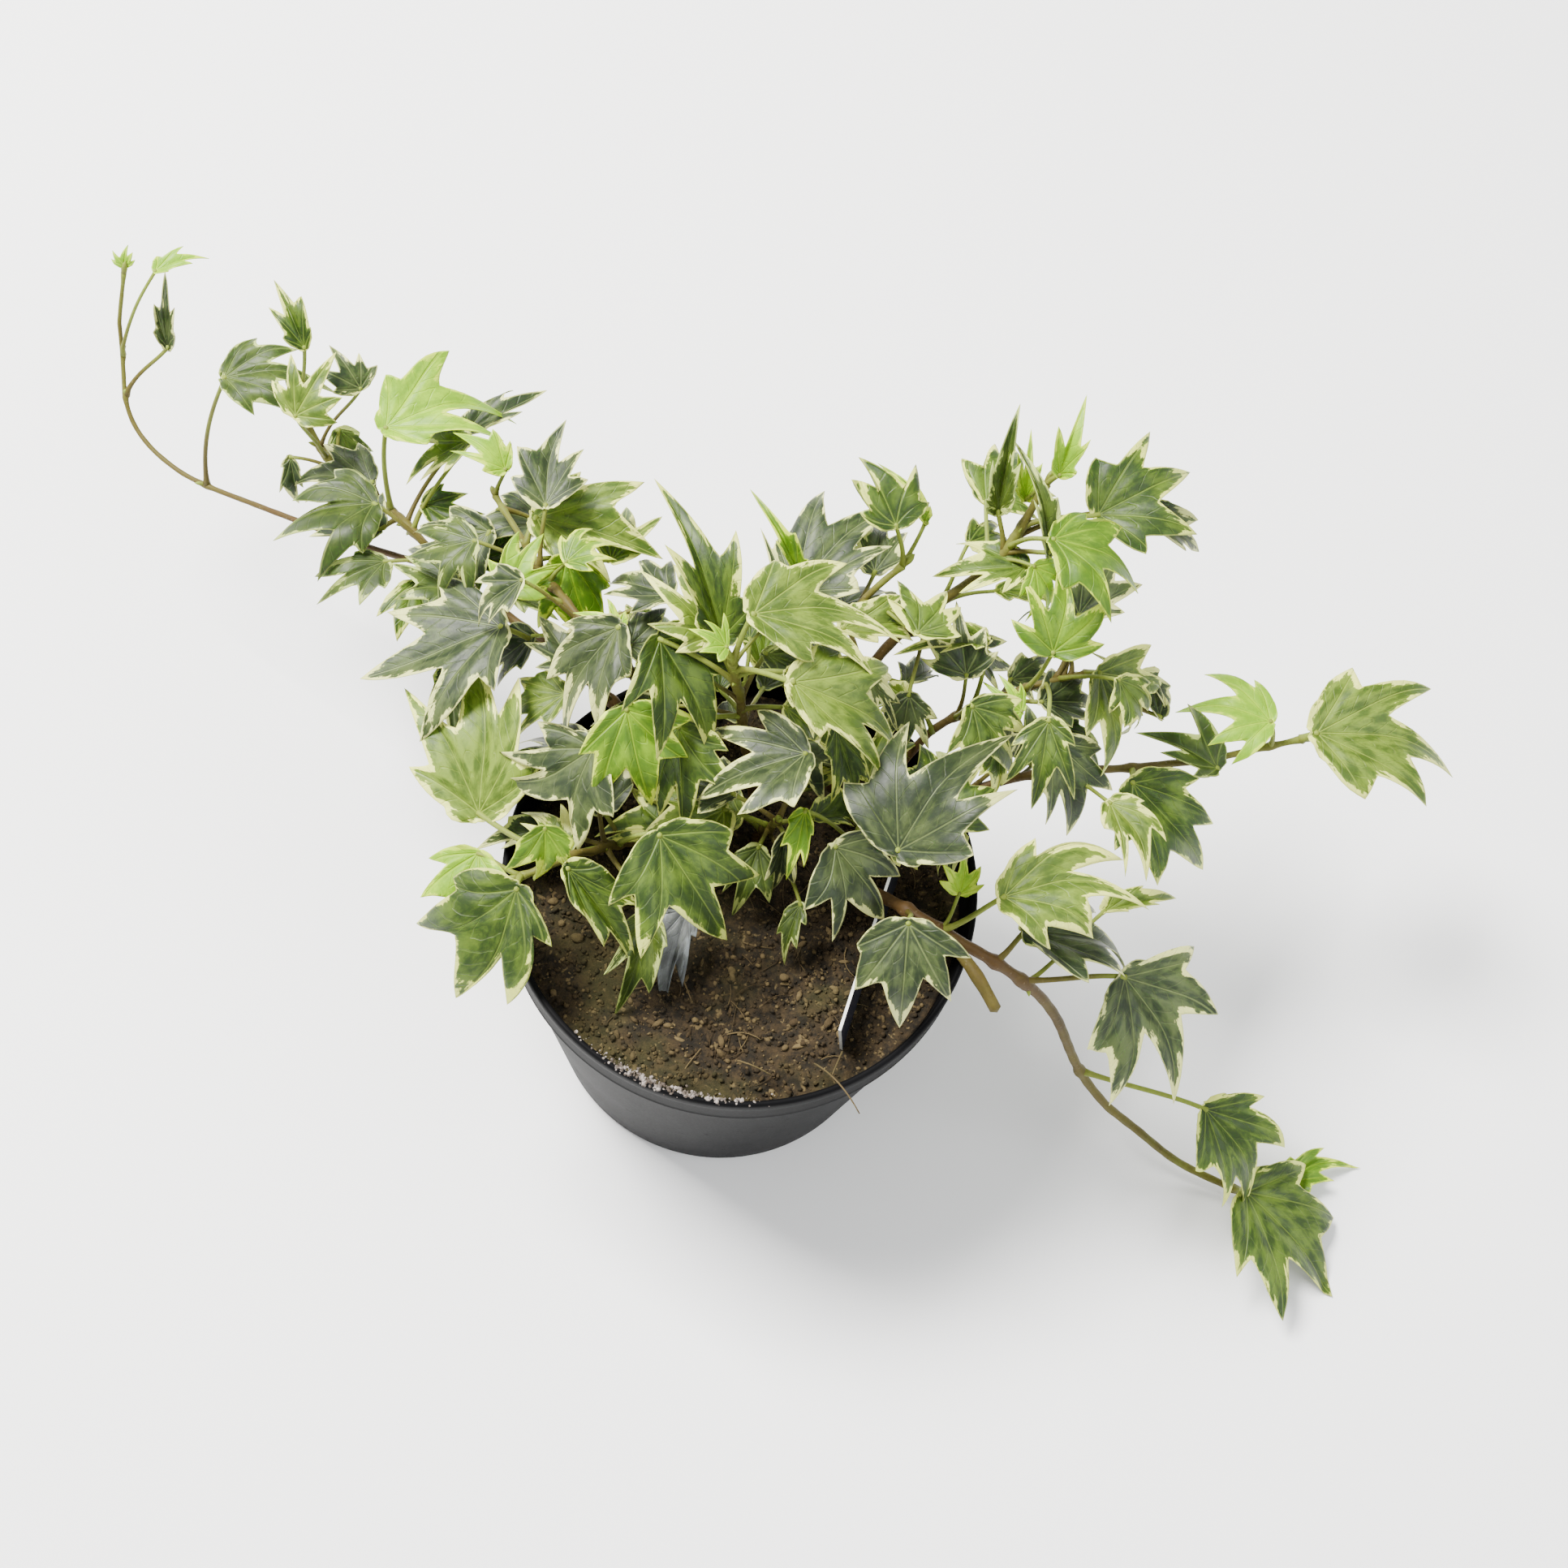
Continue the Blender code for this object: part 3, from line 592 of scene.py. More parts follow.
@dataclass(frozen=True)
class SoilFinish:
    """Crumbly growing mix: dark peat, tan flecks and a green bloom."""

    name: str = "peat"
    dark: Colour = (0.008, 0.006, 0.003)
    warm: Colour = (0.034, 0.022, 0.009)
    tan: Colour = (0.120, 0.086, 0.036)
    moss: Colour = (0.038, 0.036, 0.008)

    def material(self) -> bpy.types.Material:
        """The soil's material; the mark hue picks each crumb's own colour.

        Returns:
            The material.
        """
        kit = Kit(self.name)
        spot, hue = kit.spot(), kit.mark("hue")
        clod = kit.noise(spot, 330.0, 5.0, 0.75)
        fine = kit.noise(spot, 1300.0, 4.0, 0.7)
        bloom = kit.ramp(kit.noise(spot, 46.0, 3.0), 0.46, 0.66)
        colour = kit.blend(kit.ramp(clod, 0.38, 0.66), self.dark, self.warm)
        fleck = kit.ramp(kit.noise(spot, 520.0, 2.0), 0.60, 0.70)
        colour = kit.blend(fleck * 0.7, colour, self.tan)
        colour = kit.blend(kit.ramp(hue, 0.35, 0.60), colour, self.warm)
        colour = kit.blend(kit.ramp(hue, 0.70, 1.00) * 0.8, colour, self.tan)
        colour = kit.blend(bloom * 0.42, colour, self.moss)
        colour = kit.dim(colour, fine * 0.9 + 0.6)
        return kit.finish(Base_Color=colour, Roughness=0.92, Specular_IOR_Level=0.25,
                          Normal=kit.bump(fine * 0.6 + clod * 0.8, 0.6, 0.9))


@dataclass(frozen=True)
class CardFinish:
    """Plain dark coated card with a pale cut edge."""

    name: str = "dark_card"
    face: Colour = (0.012, 0.014, 0.024)
    core: Colour = (0.72, 0.72, 0.66)
    wear: Colour = (0.06, 0.06, 0.07)
    mud: Colour = (0.16, 0.12, 0.08)

    def material(self) -> bpy.types.Material:
        """The card's material; the mark cut is 1 on its cut edges.

        Returns:
            The material.
        """
        kit = Kit(self.name)
        spot, cut = kit.spot(), kit.mark("cut")
        cloud = kit.noise(spot, 90.0, 4.0)
        fine = kit.noise(spot, 1800.0, 3.0)
        splash = 1.0 - kit.ramp(kit.cells(spot, 300.0), 0.05, 0.15)
        colour = kit.blend(cloud * 0.2, self.face, self.wear)
        colour = kit.blend(splash * 0.4, colour, self.mud)
        colour = kit.blend(kit.ramp(cut, 0.4, 0.6), colour, self.core)
        colour = kit.dim(colour, fine * 0.3 + 0.85)
        return kit.finish(Base_Color=colour, Roughness=cloud * 0.15 + 0.32,
                          Normal=kit.bump(fine, 0.04, 0.6))


@dataclass(frozen=True)
class CrustFinish:
    """Pale mineral crust that dries on a pot's brim."""

    name: str = "mineral_crust"
    damp: Colour = (0.060, 0.044, 0.032)
    dry: Colour = (0.270, 0.232, 0.208)

    def material(self) -> bpy.types.Material:
        """The crust's chalky material.

        Returns:
            The material.
        """
        kit = Kit(self.name)
        spot = kit.spot()
        cloud = kit.noise(spot, 420.0, 4.0)
        colour = kit.blend(kit.ramp(cloud, 0.42, 0.60), self.damp, self.dry)
        return kit.finish(Base_Color=colour, Roughness=0.85,
                          Normal=kit.bump(kit.noise(spot, 2600.0, 3.0), 0.1, 0.8))


class Tone(Enum):
    """How old a leaf is, which sets its colours."""

    DEEP = LeafFinish("leaf_deep", (0.011, 0.020, 0.005), (0.056, 0.078, 0.021),
                      (0.54, 0.56, 0.19), (0.15, 0.19, 0.06), (0.070, 0.092, 0.024), 0.50)
    MID = LeafFinish("leaf_mid", (0.014, 0.033, 0.001), (0.072, 0.122, 0.008),
                     (0.55, 0.60, 0.12), (0.16, 0.23, 0.03), (0.092, 0.128, 0.016), 0.50)
    PALE = LeafFinish("leaf_pale", (0.040, 0.074, 0.004), (0.128, 0.190, 0.017),
                      (0.61, 0.65, 0.15), (0.27, 0.35, 0.05), (0.142, 0.186, 0.034), 1.00)
    FRESH = LeafFinish("leaf_fresh", (0.052, 0.122, 0.001), (0.135, 0.250, 0.002),
                       (0.52, 0.64, 0.04), (0.25, 0.39, 0.01), (0.128, 0.200, 0.006), 0.50)
    LIME = LeafFinish("leaf_lime", (0.150, 0.305, 0.001), (0.255, 0.450, 0.003),
                      (0.46, 0.62, 0.03), (0.33, 0.51, 0.01), (0.200, 0.310, 0.006), 0.3)
    DULL = LeafFinish("leaf_dull", (0.020, 0.037, 0.003), (0.056, 0.086, 0.009),
                      (0.36, 0.42, 0.11), (0.12, 0.17, 0.03), (0.060, 0.083, 0.012), 0.3)


WITHERED = LeafFinish("leaf_withered", (0.070, 0.074, 0.068), (0.165, 0.176, 0.168),
                      (0.21, 0.23, 0.23), (0.18, 0.20, 0.20), (0.085, 0.095, 0.095), 0.3)


# ---------------------------------------------------------------------------------------------
# The plant's growth, the same list that the model is built from
# ---------------------------------------------------------------------------------------------
class Form(Enum):
    """A blade's build: its width, fold and droop as shares of its length, and its outline.

    The outline is half of the blade from its tip round to the stalk: the angle from the midrib
    in degrees, and the reach as a share of the length.  Peaks are lobe tips.
    """

    BROAD = (1.10, 0.14, 0.16, ((0, 1.0), (17, 0.58), (32, 0.84), (48, 0.50), (63, 0.56),
                                (89, 0.23), (132, 0.09), (180, 0.05)))
    PLAIN = (0.88, 0.20, 0.20, ((0, 1.0), (16, 0.60), (30, 0.84), (46, 0.50), (58, 0.52),
                                (84, 0.21), (132, 0.08), (180, 0.05)))
    SLIM = (0.62, 0.42, 0.24, ((0, 1.0), (16, 0.62), (28, 0.74), (46, 0.42), (57, 0.40),
                               (86, 0.16), (134, 0.07), (180, 0.05)))
    CURLED = (0.42, 0.85, 0.30, ((0, 1.0), (20, 0.66), (30, 0.68), (50, 0.44), (60, 0.42),
                                 (92, 0.15), (140, 0.06), (180, 0.05)))


@dataclass(frozen=True)
class Leaf:
    """One leaf: where its stalk leaves the stem, the stalk's reach, and how the blade lies.

    at runs from 0 at the soil to 1 at the tip; reach and length are mm; the rest are degrees.
    """

    at: float
    reach: float
    toward: float
    rise: float
    bearing: float
    pitch: float
    length: float
    form: Form
    tone: Tone


@dataclass(frozen=True)
class Shoot:
    """One shoot: its stem's radius and route in mm, and its leaves in order."""

    name: str
    radius: float
    route: Sequence[tuple[float, ...]]
    leaves: Sequence[Leaf]


SHOOTS: tuple[Shoot, ...] = (
    Shoot("centre", 1.8, [(5, 25), (0, 30, 118), (-5, 32, 150)], [
        Leaf(0.95, 19, -35, 35, -15, -15, 34, Form.PLAIN, Tone.PALE),
        Leaf(1.00, 12, 45, 55, 5, -5, 36, Form.PLAIN, Tone.PALE),
        Leaf(0.90, 15, -15, 35, -35, -30, 20, Form.PLAIN, Tone.PALE),
        Leaf(1.00, 8, 180, 75, 160, 40, 10, Form.BROAD, Tone.LIME),
        Leaf(0.85, 22, 160, 25, -50, -30, 32, Form.BROAD, Tone.MID),
        Leaf(0.60, 20, -160, 30, -85, -30, 28, Form.PLAIN, Tone.MID),
        Leaf(0.95, 8, 120, 40, 110, 45, 36, Form.SLIM, Tone.MID),
        Leaf(0.80, 13, 130, 40, 140, 35, 22, Form.PLAIN, Tone.PALE),
        Leaf(0.98, 18, 50, 10, 105, 30, 10, Form.BROAD, Tone.LIME),
    ]),
    Shoot("back", 1.6, [(20, 35), (20, 45, 114), (28, 56, 134), (38, 62, 144)], [
        Leaf(0.45, 22, -85, 30, -65, -35, 25, Form.SLIM, Tone.MID),
        Leaf(0.60, 26, 130, 60, 110, 55, 21, Form.CURLED, Tone.FRESH),
        Leaf(1.00, 14, 130, 70, 120, 35, 18, Form.BROAD, Tone.MID),
        Leaf(1.00, 12, 60, 20, 130, 55, 16, Form.CURLED, Tone.FRESH),
        Leaf(0.60, 17, 110, 30, 25, 20, 36, Form.PLAIN, Tone.DEEP),
        Leaf(0.50, 18, 170, 50, 95, 50, 22, Form.CURLED, Tone.DEEP),
        Leaf(0.70, 12, -110, 55, 10, 0, 27, Form.SLIM, Tone.PALE),
    ]),
    Shoot("top_right", 1.9, [(25, 30), (32, 48, 112), (48, 58, 130), (62, 64, 144),
                             (72, 76, 160)], [
        Leaf(0.74, 14, -10, 50, 180, 0, 22, Form.PLAIN, Tone.MID),
        Leaf(0.78, 14, -30, 50, -45, -30, 13, Form.BROAD, Tone.LIME),
        Leaf(0.80, 11, 105, 45, 85, 60, 25, Form.CURLED, Tone.DULL),
        Leaf(0.80, 12, 0, 30, 120, 55, 25, Form.CURLED, Tone.DULL),
        Leaf(1.00, 5, 200, 40, 110, 60, 15, Form.SLIM, Tone.LIME),
        Leaf(1.00, 5, 0, 60, 70, 65, 18, Form.SLIM, Tone.LIME),
        Leaf(0.88, 19, 5, 10, 25, 15, 28, Form.BROAD, Tone.MID),
        Leaf(0.82, 23, -30, 60, 15, -5, 25, Form.BROAD, Tone.FRESH),
        Leaf(0.85, 32, 15, 0, -15, -20, 26, Form.SLIM, Tone.DEEP),
    ]),
    Shoot("right_inner", 1.4, [(35, 25), (50, 35, 108), (70, 40, 120), (90, 45, 120),
                               (100, 40, 112)], [
        Leaf(0.80, 8, -60, 60, -30, -35, 28, Form.BROAD, Tone.PALE),
        Leaf(1.00, 9, -5, -20, 135, 40, 22, Form.CURLED, Tone.DEEP),
        Leaf(0.95, 8, 45, 20, -25, -35, 17, Form.SLIM, Tone.DEEP),
        Leaf(0.62, 18, 0, 80, 70, 40, 21, Form.BROAD, Tone.FRESH),
        Leaf(0.55, 8, -60, 30, 155, 35, 11, Form.BROAD, Tone.LIME),
        Leaf(0.50, 16, -10, 35, 10, -15, 23, Form.PLAIN, Tone.DEEP),
        Leaf(0.40, 24, -90, 70, -40, -25, 22, Form.BROAD, Tone.MID),
        Leaf(0.40, 16, 90, 75, 110, 40, 17, Form.BROAD, Tone.DEEP),
        Leaf(0.45, 20, 80, 55, 180, 5, 22, Form.SLIM, Tone.PALE),
    ]),
    Shoot("right_arm", 1.6, [(40, 15), (55, 20, 100), (75, 24, 104), (100, 30, 95),
                             (125, 35, 90), (150, 40, 92)], [
        Leaf(1.00, 5, 0, 50, 0, 0, 44, Form.PLAIN, Tone.PALE),
        Leaf(0.93, 13, 160, 75, 160, 10, 21, Form.BROAD, Tone.LIME),
        Leaf(0.80, 6, -90, 50, 160, 30, 20, Form.PLAIN, Tone.DULL),
        Leaf(0.60, 8, -100, 35, -40, -20, 35, Form.PLAIN, Tone.MID),
        Leaf(0.36, 14, 60, 75, -65, -30, 27, Form.PLAIN, Tone.DEEP),
        Leaf(0.38, 19, 80, 60, -25, -20, 22, Form.SLIM, Tone.DULL),
        Leaf(0.12, 20, -70, 45, -145, -35, 14, Form.PLAIN, Tone.DEEP),
    ]),
    Shoot("front_right", 1.6, [(30, 15), (26, 8, 100), (34, 0, 112)], [
        Leaf(0.60, 28, -145, 60, -80, -30, 18, Form.SLIM, Tone.FRESH),
        Leaf(0.70, 19, -135, 55, -40, -30, 26, Form.BROAD, Tone.DEEP),
        Leaf(1.00, 28, -90, 70, 55, 35, 34, Form.BROAD, Tone.DEEP),
        Leaf(0.90, 18, -15, 45, 30, 10, 24, Form.BROAD, Tone.MID),
    ]),
    Shoot("trail", 1.9, [(25, 5), (35, -8, 100), (46, -18, 106), (65, -27, 99),
                         (80, -31, 78), (96, -38, 42), (122, -50, 14), (140, -57, 6),
                         (152, -61, 5)], [
        Leaf(0.15, 23, -105, 60, -95, -25, 26, Form.BROAD, Tone.DEEP),
        Leaf(0.20, 21, 10, 50, 15, 10, 34, Form.PLAIN, Tone.PALE),
        Leaf(0.34, 30, 40, 25, 15, 10, 20, Form.CURLED, Tone.PALE),
        Leaf(0.20, 11, 60, 45, 75, 40, 10, Form.BROAD, Tone.LIME),
        Leaf(0.28, 11, 40, 30, 0, -10, 35, Form.PLAIN, Tone.DEEP),
        Leaf(0.33, 28, 5, -10, -45, -25, 36, Form.BROAD, Tone.DEEP),
        Leaf(0.60, 36, -15, -10, -40, -25, 36, Form.PLAIN, Tone.MID),
        Leaf(0.95, 13, -90, 70, -40, -15, 42, Form.BROAD, Tone.MID),
        Leaf(1.00, 12, 20, 60, 5, 5, 24, Form.SLIM, Tone.FRESH),
    ]),
    Shoot("front", 1.6, [(5, 15), (8, 8, 112)], [
        Leaf(1.00, 22, 65, 65, -160, -10, 28, Form.BROAD, Tone.DEEP),
        Leaf(0.95, 16, 170, 40, 175, -5, 22, Form.PLAIN, Tone.DEEP),
        Leaf(0.60, 8, -115, 20, -110, -20, 18, Form.PLAIN, Tone.DULL),
        Leaf(0.50, 22, -70, 0, -115, -25, 16, Form.SLIM, Tone.DULL),
        Leaf(0.90, 6, -70, 30, -95, -40, 18, Form.SLIM, Tone.DEEP),
    ]),
    Shoot("front_left", 1.6, [(-17, 15), (-30, 8, 98), (-42, 0, 108), (-55, -5, 108)], [
        Leaf(0.40, 32, -50, 65, -50, -30, 34, Form.BROAD, Tone.MID),
        Leaf(0.75, 12, -95, 55, -45, -25, 32, Form.SLIM, Tone.MID),
        Leaf(0.50, 21, -60, 10, -105, -25, 28, Form.SLIM, Tone.DULL),
        Leaf(1.00, 7, -100, 40, -110, -30, 32, Form.BROAD, Tone.MID),
        Leaf(0.90, 16, 60, 75, -105, -40, 15, Form.BROAD, Tone.FRESH),
        Leaf(1.00, 12, 150, 0, -120, -20, 21, Form.BROAD, Tone.LIME),
        Leaf(0.30, 19, -25, 55, 150, 5, 20, Form.PLAIN, Tone.MID),
        Leaf(0.78, 26, 145, -10, 85, 30, 42, Form.PLAIN, Tone.PALE),
    ]),
    Shoot("left_arm", 1.7, [(-12, 24), (-28, 40, 104), (-50, 58, 110), (-70, 80, 102),
                            (-90, 108, 90), (-108, 128, 84), (-118, 145, 92)], [
        Leaf(0.30, 16, 170, 20, -165, -15, 38, Form.BROAD, Tone.DEEP),
        Leaf(0.20, 18, 165, 55, 125, 15, 16, Form.BROAD, Tone.DEEP),
        Leaf(0.95, 28, 90, 80, 140, 35, 19, Form.SLIM, Tone.MID),
        Leaf(0.88, 27, -150, 75, 50, 40, 18, Form.BROAD, Tone.PALE),
        Leaf(0.90, 26, 20, 60, 130, 40, 13, Form.BROAD, Tone.DEEP),
        Leaf(0.72, 30, 90, 75, 25, 10, 32, Form.PLAIN, Tone.LIME),
        Leaf(0.85, 15, 90, 50, -60, -40, 14, Form.PLAIN, Tone.DULL),
        Leaf(0.68, 29, 55, 20, 25, 25, 24, Form.SLIM, Tone.DEEP),
        Leaf(0.66, 30, 45, 45, -160, -15, 20, Form.PLAIN, Tone.PALE),
        Leaf(0.75, 6, 120, 45, 165, -5, 25, Form.PLAIN, Tone.DEEP),
        Leaf(0.70, 6, -150, -10, 160, -5, 23, Form.PLAIN, Tone.DEEP),
        Leaf(0.66, 8, 60, 40, -10, 0, 16, Form.PLAIN, Tone.MID),
        Leaf(0.52, 12, 50, 15, -170, -20, 28, Form.PLAIN, Tone.DEEP),
        Leaf(0.50, 12, -60, 20, -95, -35, 26, Form.SLIM, Tone.DEEP),
        Leaf(0.85, 14, 170, 20, -80, -40, 14, Form.SLIM, Tone.DEEP),
    ]),
    Shoot("upper_left", 1.4, [(-8, 38), (-26, 43, 118), (-42, 58, 125), (-52, 78, 118),
                              (-62, 100, 112)], [
        Leaf(0.36, 20, 150, 75, -140, -30, 32, Form.PLAIN, Tone.DEEP),
        Leaf(0.33, 32, -105, 55, -75, -35, 26, Form.BROAD, Tone.FRESH),
        Leaf(0.30, 34, -115, 40, -150, -30, 28, Form.BROAD, Tone.DEEP),
        Leaf(0.45, 14, 0, 80, 140, 25, 11, Form.BROAD, Tone.LIME),
        Leaf(0.50, 22, 20, 20, 155, -10, 21, Form.PLAIN, Tone.DEEP),
        Leaf(0.82, 8, 70, 15, -15, 5, 33, Form.PLAIN, Tone.PALE),
        Leaf(0.70, 7, 50, 30, -55, -30, 24, Form.PLAIN, Tone.FRESH),
        Leaf(0.68, 9, 20, 60, 40, 20, 13, Form.BROAD, Tone.FRESH),
        Leaf(0.60, 14, 170, 10, 65, 30, 16, Form.BROAD, Tone.LIME),
        Leaf(0.65, 18, 160, -50, 5, 5, 15, Form.PLAIN, Tone.DULL),
        Leaf(1.00, 10, 40, 70, 140, 30, 15, Form.PLAIN, Tone.LIME),
        Leaf(0.95, 12, -5, -20, 155, -5, 26, Form.PLAIN, Tone.DEEP),
    ]),
    Shoot("far_left", 1.1, [(-73, 86, 97), (-95, 100, 84), (-125, 120, 70), (-152, 138, 62),
                            (-165, 152, 65), (-167, 168, 80), (-164, 178, 98)], [
        Leaf(0.55, 40, 50, 70, 5, 15, 27, Form.PLAIN, Tone.DULL),
        Leaf(0.85, 31, 35, 60, 25, 15, 14, Form.SLIM, Tone.LIME),
        Leaf(0.78, 21, 25, 45, 95, 45, 24, Form.CURLED, Tone.DEEP),
        Leaf(1.00, 2, 70, 60, 70, 60, 6, Form.BROAD, Tone.LIME),
    ]),
)


# ---------------------------------------------------------------------------------------------
# The pot, the soil and the label
# ---------------------------------------------------------------------------------------------
def rounded(corners: Sequence[tuple[float, float]], reach: float, steps: int = 5) -> Array:
    """A line of corners with each one eased by a quadratic curve that starts reach before it.

    Args:
        corners: The line's corners.
        reach: How far before and after a corner its curve starts and ends, in mm.
        steps: Points in each curve.

    Returns:
        The eased line's points.
    """
    line = np.array(corners, float)
    before, here, after = line[:-2], line[1:-1], line[2:]
    back, front = before - here, after - here
    share_back = np.minimum(reach / np.linalg.norm(back, axis=1), 0.45)[:, None]
    share_front = np.minimum(reach / np.linalg.norm(front, axis=1), 0.45)[:, None]
    first, last = here + back * share_back, here + front * share_front
    t = np.linspace(0, 1, steps)[:, None, None]
    curve = first * (1 - t) ** 2 + here * 2 * t * (1 - t) + last * t ** 2
    return np.vstack([line[:1], curve.transpose(1, 0, 2).reshape(-1, 2), line[-1:]])


def lathe(profile: Array, sides: int, lift: Callable[[Array, Array], Array] | None = None,
          skin: float = 4.0) -> Sheet:
    """A solid turned about +Z: (r, z) becomes (r cos a, r sin a, z + lift(x, y)).

    The profile runs from under the middle, out, up and back in over the top, and both of its
    ends are closed on the axis.

    Args:
        profile: Radius and height of each ring, (n, 2).
        sides: Points round each ring.
        lift: Extra height at each place, or None.
        skin: How far below the highest ring the lift still acts, in mm.

    Returns:
        The closed sheet.
    """
    turn = np.arange(sides) / sides * FULL_TURN
    x = profile[:, :1] * np.cos(turn)
    y = profile[:, :1] * np.sin(turn)
    z = np.repeat(profile[:, 1:], sides, axis=1)
    if lift is not None:
        z = z + lift(x.ravel(), y.ravel()).reshape(z.shape) * (z > profile[:, 1].max() - skin)
    count = len(profile)
    hubs = np.array([[0, 0, profile[0, 1]], [0, 0, z[-1].mean()]])
    points = np.vstack([np.stack([x, y, z], -1).reshape(-1, 3), hubs])
    tris = np.vstack([fan_tris(count * sides, 0, sides, flip=True),
                      fan_tris(count * sides + 1, (count - 1) * sides, sides)])
    return Sheet(points, ring_quads(count, sides), tris)


@dataclass
class Pot:
    """A grower's round pot with a rolled rim band and a ring of drain holes."""

    height: float = 95.0
    rim_radius: float = 60.0
    base_radius: float = 45.7
    wall: float = 1.3
    floor: float = 1.8
    band_height: float = 12.0
    band_step: float = 1.6
    hole_count: int = 8
    hole_radius: float = 4.0
    hole_ring_radius: float = 33.0
    sides: int = 180

    def outer_radius(self, height: float) -> float:
        """The body's outside radius below the rim band."""
        flare = self.rim_radius - self.band_step - self.base_radius
        return self.base_radius + flare * height / (self.height - self.band_height)

    def profile(self) -> Array:
        """The wall's section: under the base, up the outside, over the lip, down to the floor.

        Returns:
            Radius and height of each point, (n, 2).
        """
        band, rim, top = self.height - self.band_height, self.rim_radius, self.height
        low, high = self.outer_radius(band - 9.0), self.outer_radius(band - 0.9)
        corners = [
            (4.0, 0.0), (self.base_radius - 1.2, 0.0), (self.outer_radius(2.0), 2.0),
            (low, band - 9.0), (high, band - 0.9),
            (rim - 0.75, band - 0.1), (rim - 0.35, band + 1.0), (rim - 0.55, band + 2.0),
            (rim - 0.25, top - 4.2), (rim, top - 2.6), (rim, top - 0.8), (rim - 0.5, top),
            (rim - 1.5, top - 0.1), (rim - 1.9, top - 1.2), (rim - 1.7, top - 3.0),
            (self.outer_radius(band) - self.wall, band), (self.outer_radius(40) - self.wall, 40),
            (self.outer_radius(self.floor) - self.wall, self.floor), (4.0, self.floor)]
        return rounded(corners, 0.7)

    def build(self) -> None:
        """The turned wall with the drain holes cut out of its floor."""
        thing = make_object("pot_wall", [lathe(self.profile(), self.sides)],
                            [PotFinish().material()])
        turns = FULL_TURN * (np.arange(self.hole_count) + 0.5) / self.hole_count
        drills = []
        for turn in turns:
            spot = np.array([math.cos(turn), math.sin(turn), 0.0]) * self.hole_ring_radius
            spots = spot + np.array([[0, 0, -3.0], [0, 0, 1.0], [0, 0, 5.0]])
            drills.append(tube(spots, np.full(3, self.hole_radius), 24, np.zeros(3)))
        drill = make_object("drain_drill", drills, [])
        cut = thing.modifiers.new("drain", "BOOLEAN")
        cut.operation, cut.solver, cut.object = "DIFFERENCE", "EXACT", drill
        graph = bpy.context.evaluated_depsgraph_get()
        mesh = bpy.data.meshes.new_from_object(thing.evaluated_get(graph))
        thing.modifiers.clear()
        thing.data = mesh
        mesh.shade_smooth()
        mesh.set_sharp_from_angle(angle=math.radians(38))
        bpy.data.objects.remove(drill, do_unlink=True)
        settle_piece(thing, ["pot"])


CRUMB_HUBS = unit(np.array([[-1, 1.618, 0], [1, 1.618, 0], [-1, -1.618, 0], [1, -1.618, 0],
                            [0, -1, 1.618], [0, 1, 1.618], [0, -1, -1.618], [0, 1, -1.618],
                            [1.618, 0, -1], [1.618, 0, 1], [-1.618, 0, -1], [-1.618, 0, 1]]))
CRUMB_TRIS = np.array([[0, 11, 5], [0, 5, 1], [0, 1, 7], [0, 7, 10], [0, 10, 11], [1, 5, 9],
                       [5, 11, 4], [11, 10, 2], [10, 7, 6], [7, 1, 8], [3, 9, 4], [3, 4, 2],
                       [3, 2, 6], [3, 6, 8], [3, 8, 9], [4, 9, 5], [2, 4, 11], [6, 2, 10],
                       [8, 6, 7], [9, 8, 1]])


def crumbs(spots: Array, sizes: Array, flat: Array, luck: np.random.Generator) -> Sheet:
    """Many rough grains: twelve-cornered balls, each stretched, dented and turned its own way.

    Args:
        spots: Their middles, (n, 3), in mm.
        sizes: Their half widths on three axes, (n, 3), in mm.
        flat: How flat each lies, from 0, turned any way, to 1, level, (n,).
        luck: Source of the draws.

    Returns:
        All the grains in one sheet, with a mark hue from 0 to 1 that each grain has alone.
    """
    count = len(spots)
    dents = luck.uniform(0.72, 1.22, (count, 12, 1))
    shape = CRUMB_HUBS[None] * dents * sizes[:, None, :]
    turn = luck.uniform(0, FULL_TURN, count)
    tip = luck.normal(0, 1.2, count) * (1 - flat) + luck.normal(0, 0.12, count)
    cos, sin = np.cos(tip)[:, None], np.sin(tip)[:, None]
    tilt = np.stack([shape[..., 0] * cos + shape[..., 2] * sin, shape[..., 1],
                     shape[..., 2] * cos - shape[..., 0] * sin], -1)
    cos, sin = np.cos(turn)[:, None], np.sin(turn)[:, None]
    points = np.stack([tilt[..., 0] * cos - tilt[..., 1] * sin,
                       tilt[..., 0] * sin + tilt[..., 1] * cos, tilt[..., 2]], -1) + spots[:, None]
    tris = (CRUMB_TRIS[None] + np.arange(count)[:, None, None] * 12).reshape(-1, 3)
    sheet = Sheet(points.reshape(-1, 3), np.zeros((0, 4), int), tris)
    return sheet.marked(hue=np.repeat(luck.uniform(0, 1, count), 12))


# Long straws on the mix: each one's start, its stop and how far it bows up, in mm.
STRAWS = (((17, -47, 88), (26.5, -62.0, 95.0), 4.2), ((24, -44, 88), (20.4, -52.0, 94.6), 0.8),
          ((-20, -12, 87), (-13, -30, 87.4), 1.6), ((-2, -46, 88), (6, -50, 88.6), 1.2))
# Where the stones lie at the left of the mix, and where crust has built up along the rim.
STONES = np.array([[-45, -8, 0], [-41, -12, 0], [-47, -2, 0], [-38, -6, 0]])
CRUST_BEARINGS = {-127.0: 0.1, -119.0: 0.3, -112.0: 0.3, -101.0: 0.2, -93.0: 0.1}


